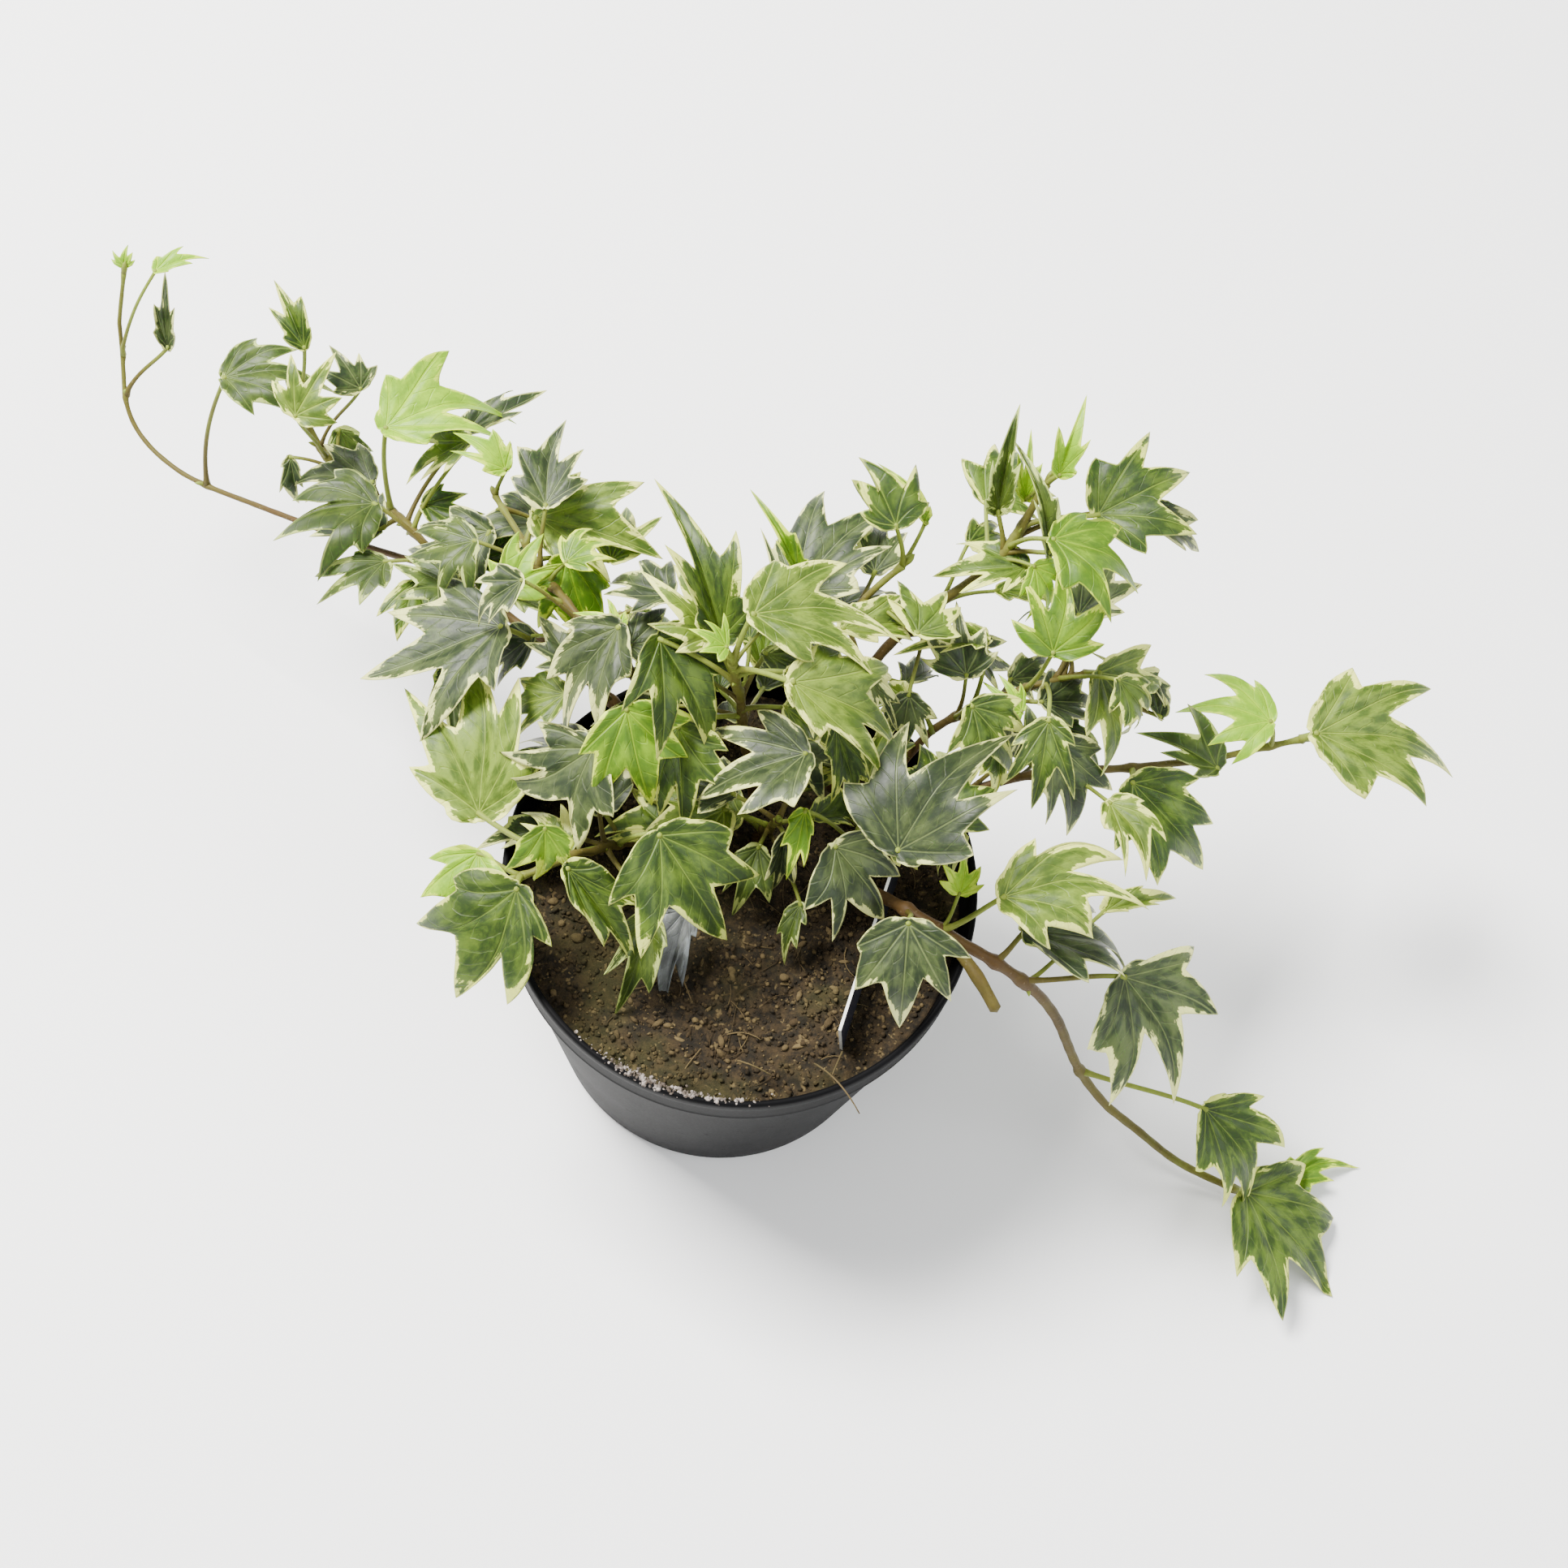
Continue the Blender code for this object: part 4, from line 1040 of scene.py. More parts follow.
@dataclass
class Soil:
    """Growing mix: a lumpy crowned top with crumbs, chips, fibres and small stones on it."""

    pot: Pot
    below_rim: float = 10.5
    crown: float = 1.6
    sides: int = 200
    seed: int = 7

    def edge(self) -> float:
        """Height of the soil where it meets the wall."""
        return self.pot.height - self.below_rim - self.crown

    def level(self, x: Any, y: Any) -> Any:
        """Smooth height of the top: edge + crown (1 - share^2), share being radius over wall."""
        share = np.hypot(x, y) / (self.pot.outer_radius(self.edge()) - self.pot.wall)
        return self.edge() + self.crown * (1 - np.minimum(share, 1.0) ** 2)

    def lumps(self, x: Array, y: Array) -> Array:
        """Lumps on the top, three sizes of smooth noise added together.

        Args:
            x: Places across, (n,).
            y: Places along, (n,).

        Returns:
            Height of the lumps in mm, (n,).
        """
        spots = np.stack([x + 200, y + 200], -1)
        return (lattice_noise(spots, 10.0, self.seed) * 0.9 + lattice_noise(spots, 4.2, 8) * 0.75
                + lattice_noise(spots, 1.9, 9) * 0.55)

    def surface(self, x: Array, y: Array) -> Array:
        """The top's height with its lumps."""
        return self.level(x, y) + self.lumps(x, y)

    def scatter(self, count: int, luck: np.random.Generator, reach: float = 55.0) -> Array:
        """Random places on the top, even over its area.

        Args:
            count: How many.
            luck: Source of the draws.
            reach: How far from the middle they may lie, in mm.

        Returns:
            The places, (count, 3).
        """
        radius = reach * np.sqrt(luck.uniform(0, 1, count))
        turn = luck.uniform(0, FULL_TURN, count)
        x, y = radius * np.cos(turn), radius * np.sin(turn)
        return np.stack([x, y, self.surface(x, y)], -1)

    def build(self) -> None:
        """The solid body of the mix, then what lies loose on it."""
        finish = SoilFinish().material()
        wall = self.pot.outer_radius(self.edge()) - self.pot.wall - 0.1
        low = self.pot.floor + 0.3
        foot = self.pot.outer_radius(low) - self.pot.wall - 0.6
        rings = np.linspace(1.0, 0.02, 64)[:, None] * wall
        top = np.hstack([rings, self.level(rings, 0.0 * rings)])
        under = np.array([[4.0, low], [foot, low], [wall - 2.6, self.edge() - 20.0],
                          [wall - 0.2, self.edge() - 5.0]])
        body = lathe(np.vstack([under, top]), self.sides, self.lumps)
        thing = make_object("soil_body", [body.marked(hue=0.2)], [finish])
        settle_piece(thing, ["soil"])
        luck = np.random.default_rng(self.seed)
        self.loose("soil_crumbs", 4200, (0.28, 1.00), (1.0, 0.85, 0.7), 0.0, luck, finish)
        self.loose("bark_chips", 700, (0.6, 2.3), (1.0, 0.45, 0.24), 0.7, luck, finish)
        self.fibres(luck, finish)
        self.stones(luck, finish)

    def stones(self, luck: np.random.Generator, finish: bpy.types.Material) -> None:
        """A few tan stones, some of them at the left where the leaves open.

        Args:
            luck: Source of the draws.
            finish: The material.
        """
        spots = np.vstack([self.scatter(9, luck, 50.0), STONES])
        spots[:, 2] = self.surface(spots[:, 0], spots[:, 1]) + 0.3
        sizes = luck.uniform(1.2, 2.2, (len(spots), 1)) * np.array([1.0, 0.8, 0.65])
        grains = crumbs(spots, sizes, np.full(len(spots), 0.6), luck)
        grains.marks["hue"] = grains.marks["hue"] * 0.1 + 0.86
        thing = make_object("soil_stones", [grains], [finish])
        round_off = thing.modifiers.new("round", "SUBSURF")
        round_off.levels = round_off.render_levels = 2
        settle_piece(thing, ["soil"])

    def loose(self, name: str, count: int, size: tuple[float, float],
              shape: tuple[float, float, float], flat: float, luck: np.random.Generator,
              finish: bpy.types.Material) -> None:
        """One kind of loose grain scattered over the top.

        Args:
            name: The piece's name.
            count: How many grains.
            size: Least and most half length in mm; small ones are commoner.
            shape: Half widths on three axes as shares of the half length.
            flat: How level the grains lie, from 0 to 1.
            luck: Source of the draws.
            finish: The material.
        """
        spots = self.scatter(count, luck)
        half = size[0] + (size[1] - size[0]) * luck.uniform(0, 1, count) ** 2.6
        sizes = half[:, None] * np.array(shape) * luck.uniform(0.75, 1.25, (count, 3))
        spots[:, 2] += sizes[:, 2] * 0.35
        grains = crumbs(spots, sizes, np.full(count, flat), luck)
        if flat > 0:
            grains.marks["hue"] = grains.marks["hue"] * 0.55 + 0.45
        settle_piece(make_object(name, [grains], [finish]), ["soil"])

    def fibres(self, luck: np.random.Generator, finish: bpy.types.Material) -> None:
        """Thin roots and straws that bow a little between their ends.

        Args:
            luck: Source of the draws.
            finish: The material.
        """
        straws = []
        for spot in self.scatter(120, luck, 50.0):
            turn, reach = luck.uniform(0, FULL_TURN), luck.uniform(3, 11)
            run = np.array([np.cos(turn), np.sin(turn), luck.uniform(-0.04, 0.10)]) * reach
            sag = np.array([-np.sin(turn), np.cos(turn), 0.3]) * luck.uniform(-0.16, 0.16) * reach
            share = np.linspace(-0.5, 0.5, 7)[:, None]
            spots = spot + run * share + sag * (0.25 - share ** 2) * 4 + np.array([0, 0, 0.5])
            radii = np.full(7, luck.uniform(0.10, 0.24)) * np.linspace(1.0, 0.6, 7)
            straws.append(tube(spots, radii, 5, np.zeros(7)).marked(hue=luck.uniform(0.6, 1.0)))
        for start, stop, bow in STRAWS:
            share = np.linspace(0, 1, 15)[:, None]
            spots = np.array(start) * (1 - share) + np.array(stop) * share
            spots = spots + np.array([0, 0, bow]) * (share * (1 - share) * 4)
            straws.append(tube(spots, np.linspace(0.28, 0.16, 15), 6,
                               np.zeros(15)).marked(hue=0.90))
        settle_piece(make_object("soil_fibres", straws, [finish]), ["soil"])

    def crust(self) -> None:
        """Pale mineral crumbs dried on the front of the pot's rim."""
        luck = np.random.default_rng(41)
        count = 460
        clump = luck.choice(list(CRUST_BEARINGS), count, p=list(CRUST_BEARINGS.values()))
        turn = np.radians(clump + luck.normal(0, 3.6, count))
        radius = self.pot.rim_radius - 1.6 + luck.normal(0, 0.60, count)
        half = 0.12 + 0.62 * luck.uniform(0, 1, count) ** 3
        lip = self.pot.height - 0.25 + half * 0.3
        spots = np.stack([radius * np.cos(turn), radius * np.sin(turn), lip], -1)
        sizes = half[:, None] * np.array([1.0, 0.8, 0.38])
        grains = crumbs(spots, sizes, np.full(count, 0.7), luck)
        settle_piece(make_object("rim_crust", [grains], [CrustFinish().material()]),
                     ["soil"])


@dataclass
class LabelCard:
    """A blank card pushed into the soil on its long edge, slightly bowed."""

    length: float = 50.0
    height: float = 34.0
    thickness: float = 0.8
    centre: tuple[float, float] = (31.0, -18.0)
    top: float = 97.0
    bearing: float = 70.0
    lean: float = 8.0

    def build(self) -> None:
        """The card: two grids, front and back, joined by a strip along the cut edge."""
        across = np.concatenate([[-0.5, -0.498], np.linspace(-0.49, 0.49, 25), [0.498, 0.5]])
        down = np.concatenate([[0.0, 0.003], np.linspace(0.012, 0.985, 15), [0.997, 1.0]])
        u, v = np.meshgrid(across, down, indexing="ij")
        bow = 0.10 * np.cos(u * np.pi) - 0.05
        border = (np.abs(u) > 0.499) | (v < 0.001) | (v > 0.999)
        rows, columns = u.shape
        sides = []
        for face in (1, -1):
            depth = bow + face * 0.5 * self.thickness * np.where(border, 0.9, 1.0)
            sides.append(np.stack([u * self.length, depth, -v * self.height], -1).reshape(-1, 3))
        points = np.vstack(sides)
        grid = ring_quads(rows, columns, closed=False)
        index = np.arange(rows * columns).reshape(rows, columns)
        loop = np.concatenate([index[0, :-1], index[:-1, -1], index[-1, :0:-1], index[:0:-1, 0]])
        back = rows * columns
        strip = np.stack([loop, loop + back, np.roll(loop, -1) + back, np.roll(loop, -1)], -1)
        quads = np.vstack([grid[:, ::-1], grid + back, strip[:, ::-1]])
        lean, turn = math.radians(-self.lean), math.radians(self.bearing)
        place = np.array((Matrix.Rotation(turn, 3, "Z") @ Matrix.Rotation(lean, 3, "X")))
        points = points @ place.T + np.array([*self.centre, self.top])
        cut = np.tile(border.ravel().astype(float), 2)
        thing = make_object("label_card", [Sheet(points, quads).marked(cut=cut)],
                            [CardFinish().material()], sharp=40)
        settle_piece(thing, ["plant_label"])


# ---------------------------------------------------------------------------------------------
# The ivy
# ---------------------------------------------------------------------------------------------
LEAST_GROWN = 25.0  # mm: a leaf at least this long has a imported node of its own
FLOOR_CLEARANCE = 0.45  # mm between the floor and the lowest part of a blade
SOLID_OUTLINE = ((0, 1.0), (11, 0.74), (21, 0.56), (36, 0.80), (52, 0.58), (70, 0.50),
                 (92, 0.27), (125, 0.13), (180, 0.06))
WHOLE_REACH = np.array([1.0])
SAMPLE_RINGS = np.array([0.35, 0.7, 1.0])
LOBES = np.radians([-59.0, -30.0, 0.0, 30.0, 59.0])


def blade_places(form: Form, knots: Sequence[tuple[float, float]], shares: Array) -> Array:
    """Places over a plain blade: both halves of an outline at shares of its reach.

    The height is fold |x| - droop (x^2 + y^2).

    Args:
        form: The blade's build.
        knots: Half of the outline, as angles in degrees and reaches.
        shares: Shares of the reach, (n,).

    Returns:
        Across, ahead and up as shares of the length, one row for each place.
    """
    width, fold, droop, _ = form.value
    turn, reach = np.radians([a for a, _ in knots]), np.array([r for _, r in knots])
    x, y = np.sin(turn) * reach * width, np.cos(turn) * reach
    x, y = np.concatenate([x, -x[1:-1]]), np.concatenate([y, y[1:-1]])
    x, y = (x * shares[:, None]).ravel(), (y * shares[:, None]).ravel()
    return np.stack([x, y, fold * np.abs(x) - droop * (x ** 2 + y ** 2)], -1)


@dataclass
class Seating:
    """Where one leaf sits: its stalk's foot, the blade's joint and the blade's own axes."""

    foot: Array
    joint: Array
    side: Array
    ahead: Array
    up: Array

    @classmethod
    def level(cls, foot: Array, joint: Array, leaf: Leaf) -> "Seating":
        """The seating of a leaf that doesn't roll, so that its side axis is level."""
        side, ahead = compass(leaf.bearing - 90.0, 0.0), compass(leaf.bearing, leaf.pitch)
        return cls(foot, joint, side, ahead, np.cross(side, ahead))

    @classmethod
    def found(cls, shoot: Shoot, fine: Array, index: int, cloud: Array) -> "Seating":
        """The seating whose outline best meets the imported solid's own corners.

        Every lift from -10 to 22 mm by 2 and every swing from -56 to 56 degrees by 8 is tried;
        the one with the least mean distance from outline to solid is kept.

        Args:
            shoot: The leaf's shoot.
            fine: The shoot's fine route.
            index: The leaf's place in the shoot.
            cloud: The solid's corners in mm.

        Returns:
            The seating.
        """
        leaf = shoot.leaves[index]
        lift, swing = (a.ravel() for a in np.meshgrid(np.arange(-10, 23, 2), np.arange(-56, 57, 8)))
        spot, _ = along_route(fine, np.array([leaf.at]))
        joint = spot + compass(leaf.toward + swing, leaf.rise) * leaf.reach
        joint[:, 2] += lift
        ahead = compass(leaf.bearing + swing, leaf.pitch)
        level = compass(leaf.bearing + swing - 90.0, 0.0)
        roll = math.radians(12.0 * math.sin(2.4 * index + 0.7))
        side = level * math.cos(roll) + np.cross(ahead, level) * math.sin(roll)
        up = np.cross(side, ahead)
        x, y, high = blade_places(leaf.form, SOLID_OUTLINE, WHOLE_REACH).T[..., None]
        rim = joint[:, None] + leaf.length * (side[:, None] * x + ahead[:, None] * y
                                              + up[:, None] * high)
        miss = np.linalg.norm(rim[:, :, None] - cloud[None, None], axis=-1).min(-1).mean(-1)
        best = int(miss.argmin())
        if miss[best] > 1.0:
            LOG.warning("%s leaf %d lies %.2f mm off its solid", shoot.name, index + 1, miss[best])
        return cls(spot[0], joint[best], side[best], ahead[best], up[best])


@dataclass(frozen=True)
class Habit:
    """How far blades stray from their plain form, in shares of the length unless said.

    A pair is a mean and a spread.  A tooth is how many go round and their depth.  A wave is how
    many go round, the power of its growth towards the rim, and its least and most height.
    """

    lobe_turn_degrees: float = 2.4
    lobe_stray: float = 0.085
    notch: float = 0.88
    teeth: tuple[tuple[int, float], ...] = ((7, 0.030), (15, 0.011), (25, 0.008))
    hook: float = 0.14
    tip_sway: float = 0.30
    fold: tuple[float, float] = (1.6, 0.5)
    rise_mm: float = 0.55
    waves: tuple[tuple[int, int, float, float], ...] = ((5, 3, 0.008, 0.030), (11, 4, 0.004, 0.014))
    twist: float = 0.22
    tip_curl: tuple[float, float] = (0.95, 0.55)
    side_curl: tuple[float, float] = (1.10, 0.70)


@dataclass
class Blade:
    """One leaf blade: polar rings about its joint, top and underside, closed along the rim.

    A mesh is a number of rings, and of points along each edge of the central lobe.
    """

    leaf: Leaf
    seat: Seating
    seed: int
    habit: Habit = Habit()
    half_thickness: float = 0.17
    inner_ring: float = 0.06
    small_below: float = 20.0
    small_mesh: tuple[int, int] = (9, 7)
    full_mesh: tuple[int, int] = (13, 10)

    def samples(self) -> Array:
        """Points in mm spread over the plain blade, on three rings of its outline."""
        form, seat = self.leaf.form, self.seat
        x, y, high = blade_places(form, form.value[3], SAMPLE_RINGS).T[..., None]
        return seat.joint + self.leaf.length * (x * seat.side + y * seat.ahead + high * seat.up)

    def half_outline(self, luck: np.random.Generator, fineness: int) -> tuple[Array, Array]:
        """One half of the outline, tip to stalk, with each lobe a little different.

        Between a lobe tip of reach R at angle A and the next dip of reach D, the reach at
        share s of the way back to the dip is D + (R - D)(1 - s)^p, so tips are drawn out.

        Args:
            luck: Source of the draws.
            fineness: Points along each stretch of the central lobe.

        Returns:
            Angles from the midrib in radians and reaches as shares of the length.
        """
        knots = np.array(self.leaf.form.value[3], float)
        knots[1:-1, 0] += luck.normal(0, self.habit.lobe_turn_degrees, len(knots) - 2)
        knots[1:-1, 1] *= luck.normal(1, self.habit.lobe_stray, len(knots) - 2)
        knots[1:4:2, 1] *= self.habit.notch
        angles, reaches = [], []
        for number, ((a0, r0), (a1, r1)) in enumerate(zip(knots[:-1], knots[1:])):
            count = max(3, fineness - number)
            u = np.arange(count) / count
            power = 1.42 if number < 4 else 1.15
            if r0 > r1:
                share = u ** 1.7
                reaches.append(r1 + (r0 - r1) * (1 - share) ** power)
            else:
                share = 1 - (1 - u) ** 1.7
                reaches.append(r0 + (r1 - r0) * share ** power)
            angles.append(a0 + (a1 - a0) * share)
        return (np.radians(np.concatenate([*angles, knots[-1:, 0]])),
                np.concatenate([*reaches, knots[-1:, 1]]))

    def outline(self, luck: np.random.Generator, fineness: int) -> tuple[Array, Array]:
        """The whole outline with small teeth.

        Args:
            luck: Source of the draws.
            fineness: Points along each stretch of the central lobe.

        Returns:
            Angles from -pi to pi and reaches as shares of the length.
        """
        right, right_reach = self.half_outline(luck, fineness)
        left, left_reach = self.half_outline(luck, fineness)
        angle = np.concatenate([-left[:0:-1], right[:-1]])
        reach = np.concatenate([left_reach[:0:-1], right_reach[:-1]])
        open_part = np.clip(np.sin(np.abs(angle)) * 2.2, 0, 1) * np.clip(2.4 - np.abs(angle), 0, 1)
        for teeth, depth in self.habit.teeth:
            wave = np.sin(teeth * angle + luck.uniform(0, 6.28))
            reach = reach * (1 + depth * open_part * wave * luck.uniform(0.4, 1.3))
        return angle, reach

    def vein_places(self, x: Array, y: Array, angle: Array) -> tuple[Array, Array]:
        """Where points lie by the vein of their own lobe.

        Args:
            x: Places across, as shares of the length.
            y: Places ahead, as shares of the length.
            angle: Each column's angle from the midrib.

        Returns:
            How far they lie along the vein and how far off it, in mm.
        """
        spread = np.abs(angle[None, :] - LOBES[:, None])
        nearest = LOBES[np.where(spread < 1.5, np.sin(np.minimum(spread, 1.5)), 9).argmin(0)]
        radius = np.hypot(x / self.leaf.form.value[0], y) * self.leaf.length
        away = np.clip(angle - nearest, -1.5, 1.5)
        return radius * np.cos(away), radius * np.abs(np.sin(away))

    def relief(self, luck: np.random.Generator, x: Array, y: Array, off: Array,
               ring: tuple[Array, Array]) -> Array:
        """How high each point of the blade lies.

        It is the fold on |x|, less the droop on x^2 + y^2, plus a rise between the veins, waves
        along the rim and a twist on x y, less the curl of the tip and of the side lobes.

        Args:
            luck: Source of the draws.
            x: Places across, as shares of the length.
            y: Places ahead, as shares of the length.
            off: Distance from the vein in mm.
            ring: Each ring's share of the reach, and each column's angle.

        Returns:
            The heights as shares of the length.
        """
        width, fold, droop, _ = self.leaf.form.value
        habit, (share, angle) = self.habit, ring
        high = (fold * luck.normal(*habit.fold) * (np.sqrt(x ** 2 + 0.0012) - 0.035)
                - droop * (x ** 2 + y ** 2))
        high = high + (1 - np.exp(-(off / 1.6) ** 2)) * habit.rise_mm / self.leaf.length
        for count, power, least, most in habit.waves:
            wave = np.sin(count * angle + luck.uniform(0, 6.28))
            high = high + share ** power * wave * luck.uniform(least, most)
        high = high + luck.normal(0, habit.twist) * x * y
        high = high - luck.normal(*habit.tip_curl) * np.maximum(y - 0.45, 0) ** 2
        return high - luck.normal(*habit.side_curl) * np.maximum(np.abs(x) / width - 0.20, 0) ** 2

    def settled(self, x: Array, y: Array, high: Array) -> Array:
        """Points in place, all drawn in towards the joint until the blade lies inside the box.

        Args:
            x: Places across, as shares of the length.
            y: Places ahead, as shares of the length.
            high: Heights, as shares of the length.

        Returns:
            The points in mm.
        """
        seat = self.seat
        reach_out = self.leaf.length * (x[..., None] * seat.side + y[..., None] * seat.ahead
                                        + high[..., None] * seat.up)
        room = np.where(reach_out > 0, BOX_HIGH - BOX_MARGIN - seat.joint,
                        seat.joint - BOX_LOW - BOX_MARGIN)
        room[..., 2] = np.where(reach_out[..., 2] > 0, room[..., 2], 1e6)
        inside = np.clip(np.min(np.maximum(room, 0.1) / np.maximum(np.abs(reach_out), 1e-3)), 0, 1)
        return seat.joint + reach_out * inside

    def sheet(self, finish: int = 0) -> Sheet:
        """The blade's closed surface with its marks in mm.

        A point at share t of the reach R at angle a lies at x = width t R sin a,
        y = t R cos a, with the lobes hooked and the central tip swayed sideways.

        Args:
            finish: Which of the object's materials the blade takes.

        Returns:
            The closed sheet.
        """
        luck = np.random.default_rng(self.seed)
        length, seat = self.leaf.length, self.seat
        rings, fineness = self.full_mesh if length >= self.small_below else self.small_mesh
        angle, reach = self.outline(luck, fineness)
        share = (1 - (1 - np.linspace(self.inner_ring, 1, rings)) ** 1.2)[:, None]
        hook = luck.normal(0, self.habit.hook) * share ** 2
        flat_angle = angle[None] + hook * np.clip(np.abs(angle) * 3, 0, 1)
        x = share * reach * np.sin(flat_angle) * self.leaf.form.value[0]
        y = share * reach * np.cos(flat_angle)
        x = x + luck.normal(0, self.habit.tip_sway) * np.maximum(y - 0.35, 0) ** 2
        run, off = self.vein_places(x, y, angle)
        surface = self.settled(x, y, self.relief(luck, x, y, off, (share, angle)))
        least = FLOOR_CLEARANCE + 0.25 * share * (1 + np.sin(7 * angle))
        surface[..., 2] = np.maximum(surface[..., 2], least)
        outward = np.gradient(surface, axis=0)
        around = np.roll(surface, -1, axis=1) - np.roll(surface, 1, axis=1)
        normal = unit(np.cross(around, outward))
        taper = (self.half_thickness * (1 - 0.55 * share ** 6))[..., None]
        sides = len(angle)
        grid = ring_quads(rings, sides)
        count = rings * sides + 1
        faces = [np.vstack([(surface + normal * taper * way).reshape(-1, 3),
                            seat.joint + seat.up * self.half_thickness * way]) for way in (1, -1)]
        last = (rings - 1) * sides + np.arange(sides)
        edge = np.stack([last, np.roll(last, -1), np.roll(last, -1) + count, last + count], -1)
        quads = np.vstack([grid, grid[:, ::-1] + count, edge])
        tris = np.vstack([fan_tris(rings * sides, 0, sides, flip=True),
                          fan_tris(count + rings * sides, count, sides)])
        plane = np.stack([x, y], -1) * length
        rim = plane[-1]
        rim = np.concatenate([rim + (np.roll(rim, -1, axis=0) - rim) * part
                              for part in (0.0, 0.25, 0.5, 0.75)])
        gap = np.linalg.norm(plane[:, :, None] - rim[None, None], axis=-1).min(-1)

        def both(values: Array, hub: float = 0.0) -> Array:
            """A mark's values for the top and its hub, and again for the underside."""
            return np.tile(np.append(values.ravel(), hub), 2)

        return Sheet(np.vstack(faces), quads, tris, finish=finish).marked(
            rim=both(gap, 4.0), run=both(run), off=both(off), across=both(plane[..., 0]),
            ahead=both(plane[..., 1]), below=np.repeat([0.0, 1.0], count), luck=luck.uniform(0, 1))

    def stalk(self, along: Array) -> Sheet:
        """The stalk: a cubic curve that leaves the stem a little along it and meets the blade.

        Args:
            along: The stem's unit direction at the stalk's foot.

        Returns:
            The closed tube.
        """
        foot, joint = self.seat.foot, self.seat.joint
        run = joint - foot
        span = float(np.linalg.norm(run))
        bend = foot + run * 0.35 + along * span * 0.10 + np.array([0, 0, 0.07 * span])
        reach = joint - run * 0.28 - self.seat.ahead * span * 0.05 + np.array([0, 0, 0.03 * span])
        t = np.linspace(0, 1, max(8, int(span / 1.6)))[:, None]
        spots = (foot * (1 - t) ** 3 + bend * 3 * t * (1 - t) ** 2 + reach * 3 * t ** 2 * (1 - t)
                 + (joint + unit(run) * 0.3) * t ** 3)
        base = 0.40 + 0.0095 * self.leaf.length
        mm = t[:, 0] * span
        radii = base * (1 + 0.75 * np.exp(-mm / 1.7) + 0.22 * np.exp(-(span - mm) / 1.4)
                        - 0.12 * t[:, 0])
        dark = self.leaf.tone in (Tone.DEEP, Tone.DULL)
        age = 0.38 + 0.50 * t[:, 0] if dark else 0.70 + 0.30 * t[:, 0]
        return tube(spots, radii, 8, age)


@dataclass
class Undergrowth:
    """Leaves that fill a shoot from within: drawn at random, kept where they have most room."""

    shoot: Shoot
    fine: Array
    count: int
    reach_along: float
    seed: int
    tries: int = 40
    least_room: float = 2.6
    forms: tuple[Form, ...] = (Form.BROAD, Form.PLAIN, Form.PLAIN, Form.SLIM)
    tones: tuple[Tone, ...] = (Tone.DEEP, Tone.DEEP, Tone.MID, Tone.MID, Tone.DULL, Tone.PALE)

    def drawn(self, luck: np.random.Generator) -> Leaf:
        """One leaf drawn at random on the shoot."""
        toward = luck.uniform(0, 360)
        return Leaf(luck.uniform(0.2, self.reach_along), luck.uniform(8, 21), toward,
                    luck.uniform(-35, 45), toward + luck.normal(0, 40), luck.uniform(-50, 10),
                    luck.uniform(17, 29), self.forms[luck.integers(len(self.forms))],
                    self.tones[luck.integers(len(self.tones))])

    @staticmethod
    def in_the_clear(points: Array, pot: Pot) -> bool:
        """Whether a blade stays within the pot's mouth or above the rim, and off the open front.

        Args:
            points: Points spread over the blade, in mm.
            pot: The pot.

        Returns:
            True where all of that holds.
        """
        lowest = points[:, 2].min()
        in_mouth = (np.hypot(points[:, 0], points[:, 1]) < pot.rim_radius - 7).all()
        over_front = ((points[:, 1] < -6) & (np.abs(points[:, 0] + 6) < 32)).any()
        least = pot.height - 6 if in_mouth else pot.height + 2
        return bool(lowest > least and not over_front)

    def grow(self, taken: list[Array], pot: Pot) -> list[Blade]:
        """Draw the leaves one after another, each in the roomiest of its tries.

        Args:
            taken: Points of every blade and stem so far; the new blades' points are added.
            pot: The pot, whose wall the leaves stay clear of.

        Returns:
            The blades.
        """
        luck = np.random.default_rng(self.seed)
        grown: list[Blade] = []
        for number in range(self.count):
            crowd = np.concatenate(taken)
            ceiling = crowd[:, 2].max() - 8
            best, best_room = None, self.least_room
            for _ in range(self.tries):
                leaf = self.drawn(luck)
                spot, _ = along_route(self.fine, np.array([leaf.at]))
                joint = spot[0] + compass(leaf.toward, leaf.rise) * leaf.reach
                blade = Blade(leaf, Seating.level(spot[0], joint, leaf), self.seed * 50 + number)
                points = blade.samples()
                if not self.in_the_clear(points, pot) or points[:, 2].max() > ceiling:
                    continue
                near = crowd[np.linalg.norm(crowd - joint, axis=1) < leaf.length + 18]
                room = np.linalg.norm(points[:, None] - near[None], axis=-1).min()
                if room > best_room:
                    best, best_room = blade, room
            if best is not None:
                grown.append(best)
                taken.append(best.samples())
        LOG.info("%s: %d inner leaves", self.shoot.name, len(grown))
        return grown


# How many inner leaves a shoot tries to grow, and how far along it they reach.
INNER_LEAVES = {"centre": (9, 0.9), "back": (8, 0.9), "top_right": (6, 0.85),
                "right_inner": (10, 0.8), "right_arm": (4, 0.45), "front_right": (7, 0.9),
                "front": (6, 0.9), "front_left": (7, 0.6),
                "left_arm": (9, 0.66), "upper_left": (10, 0.8)}


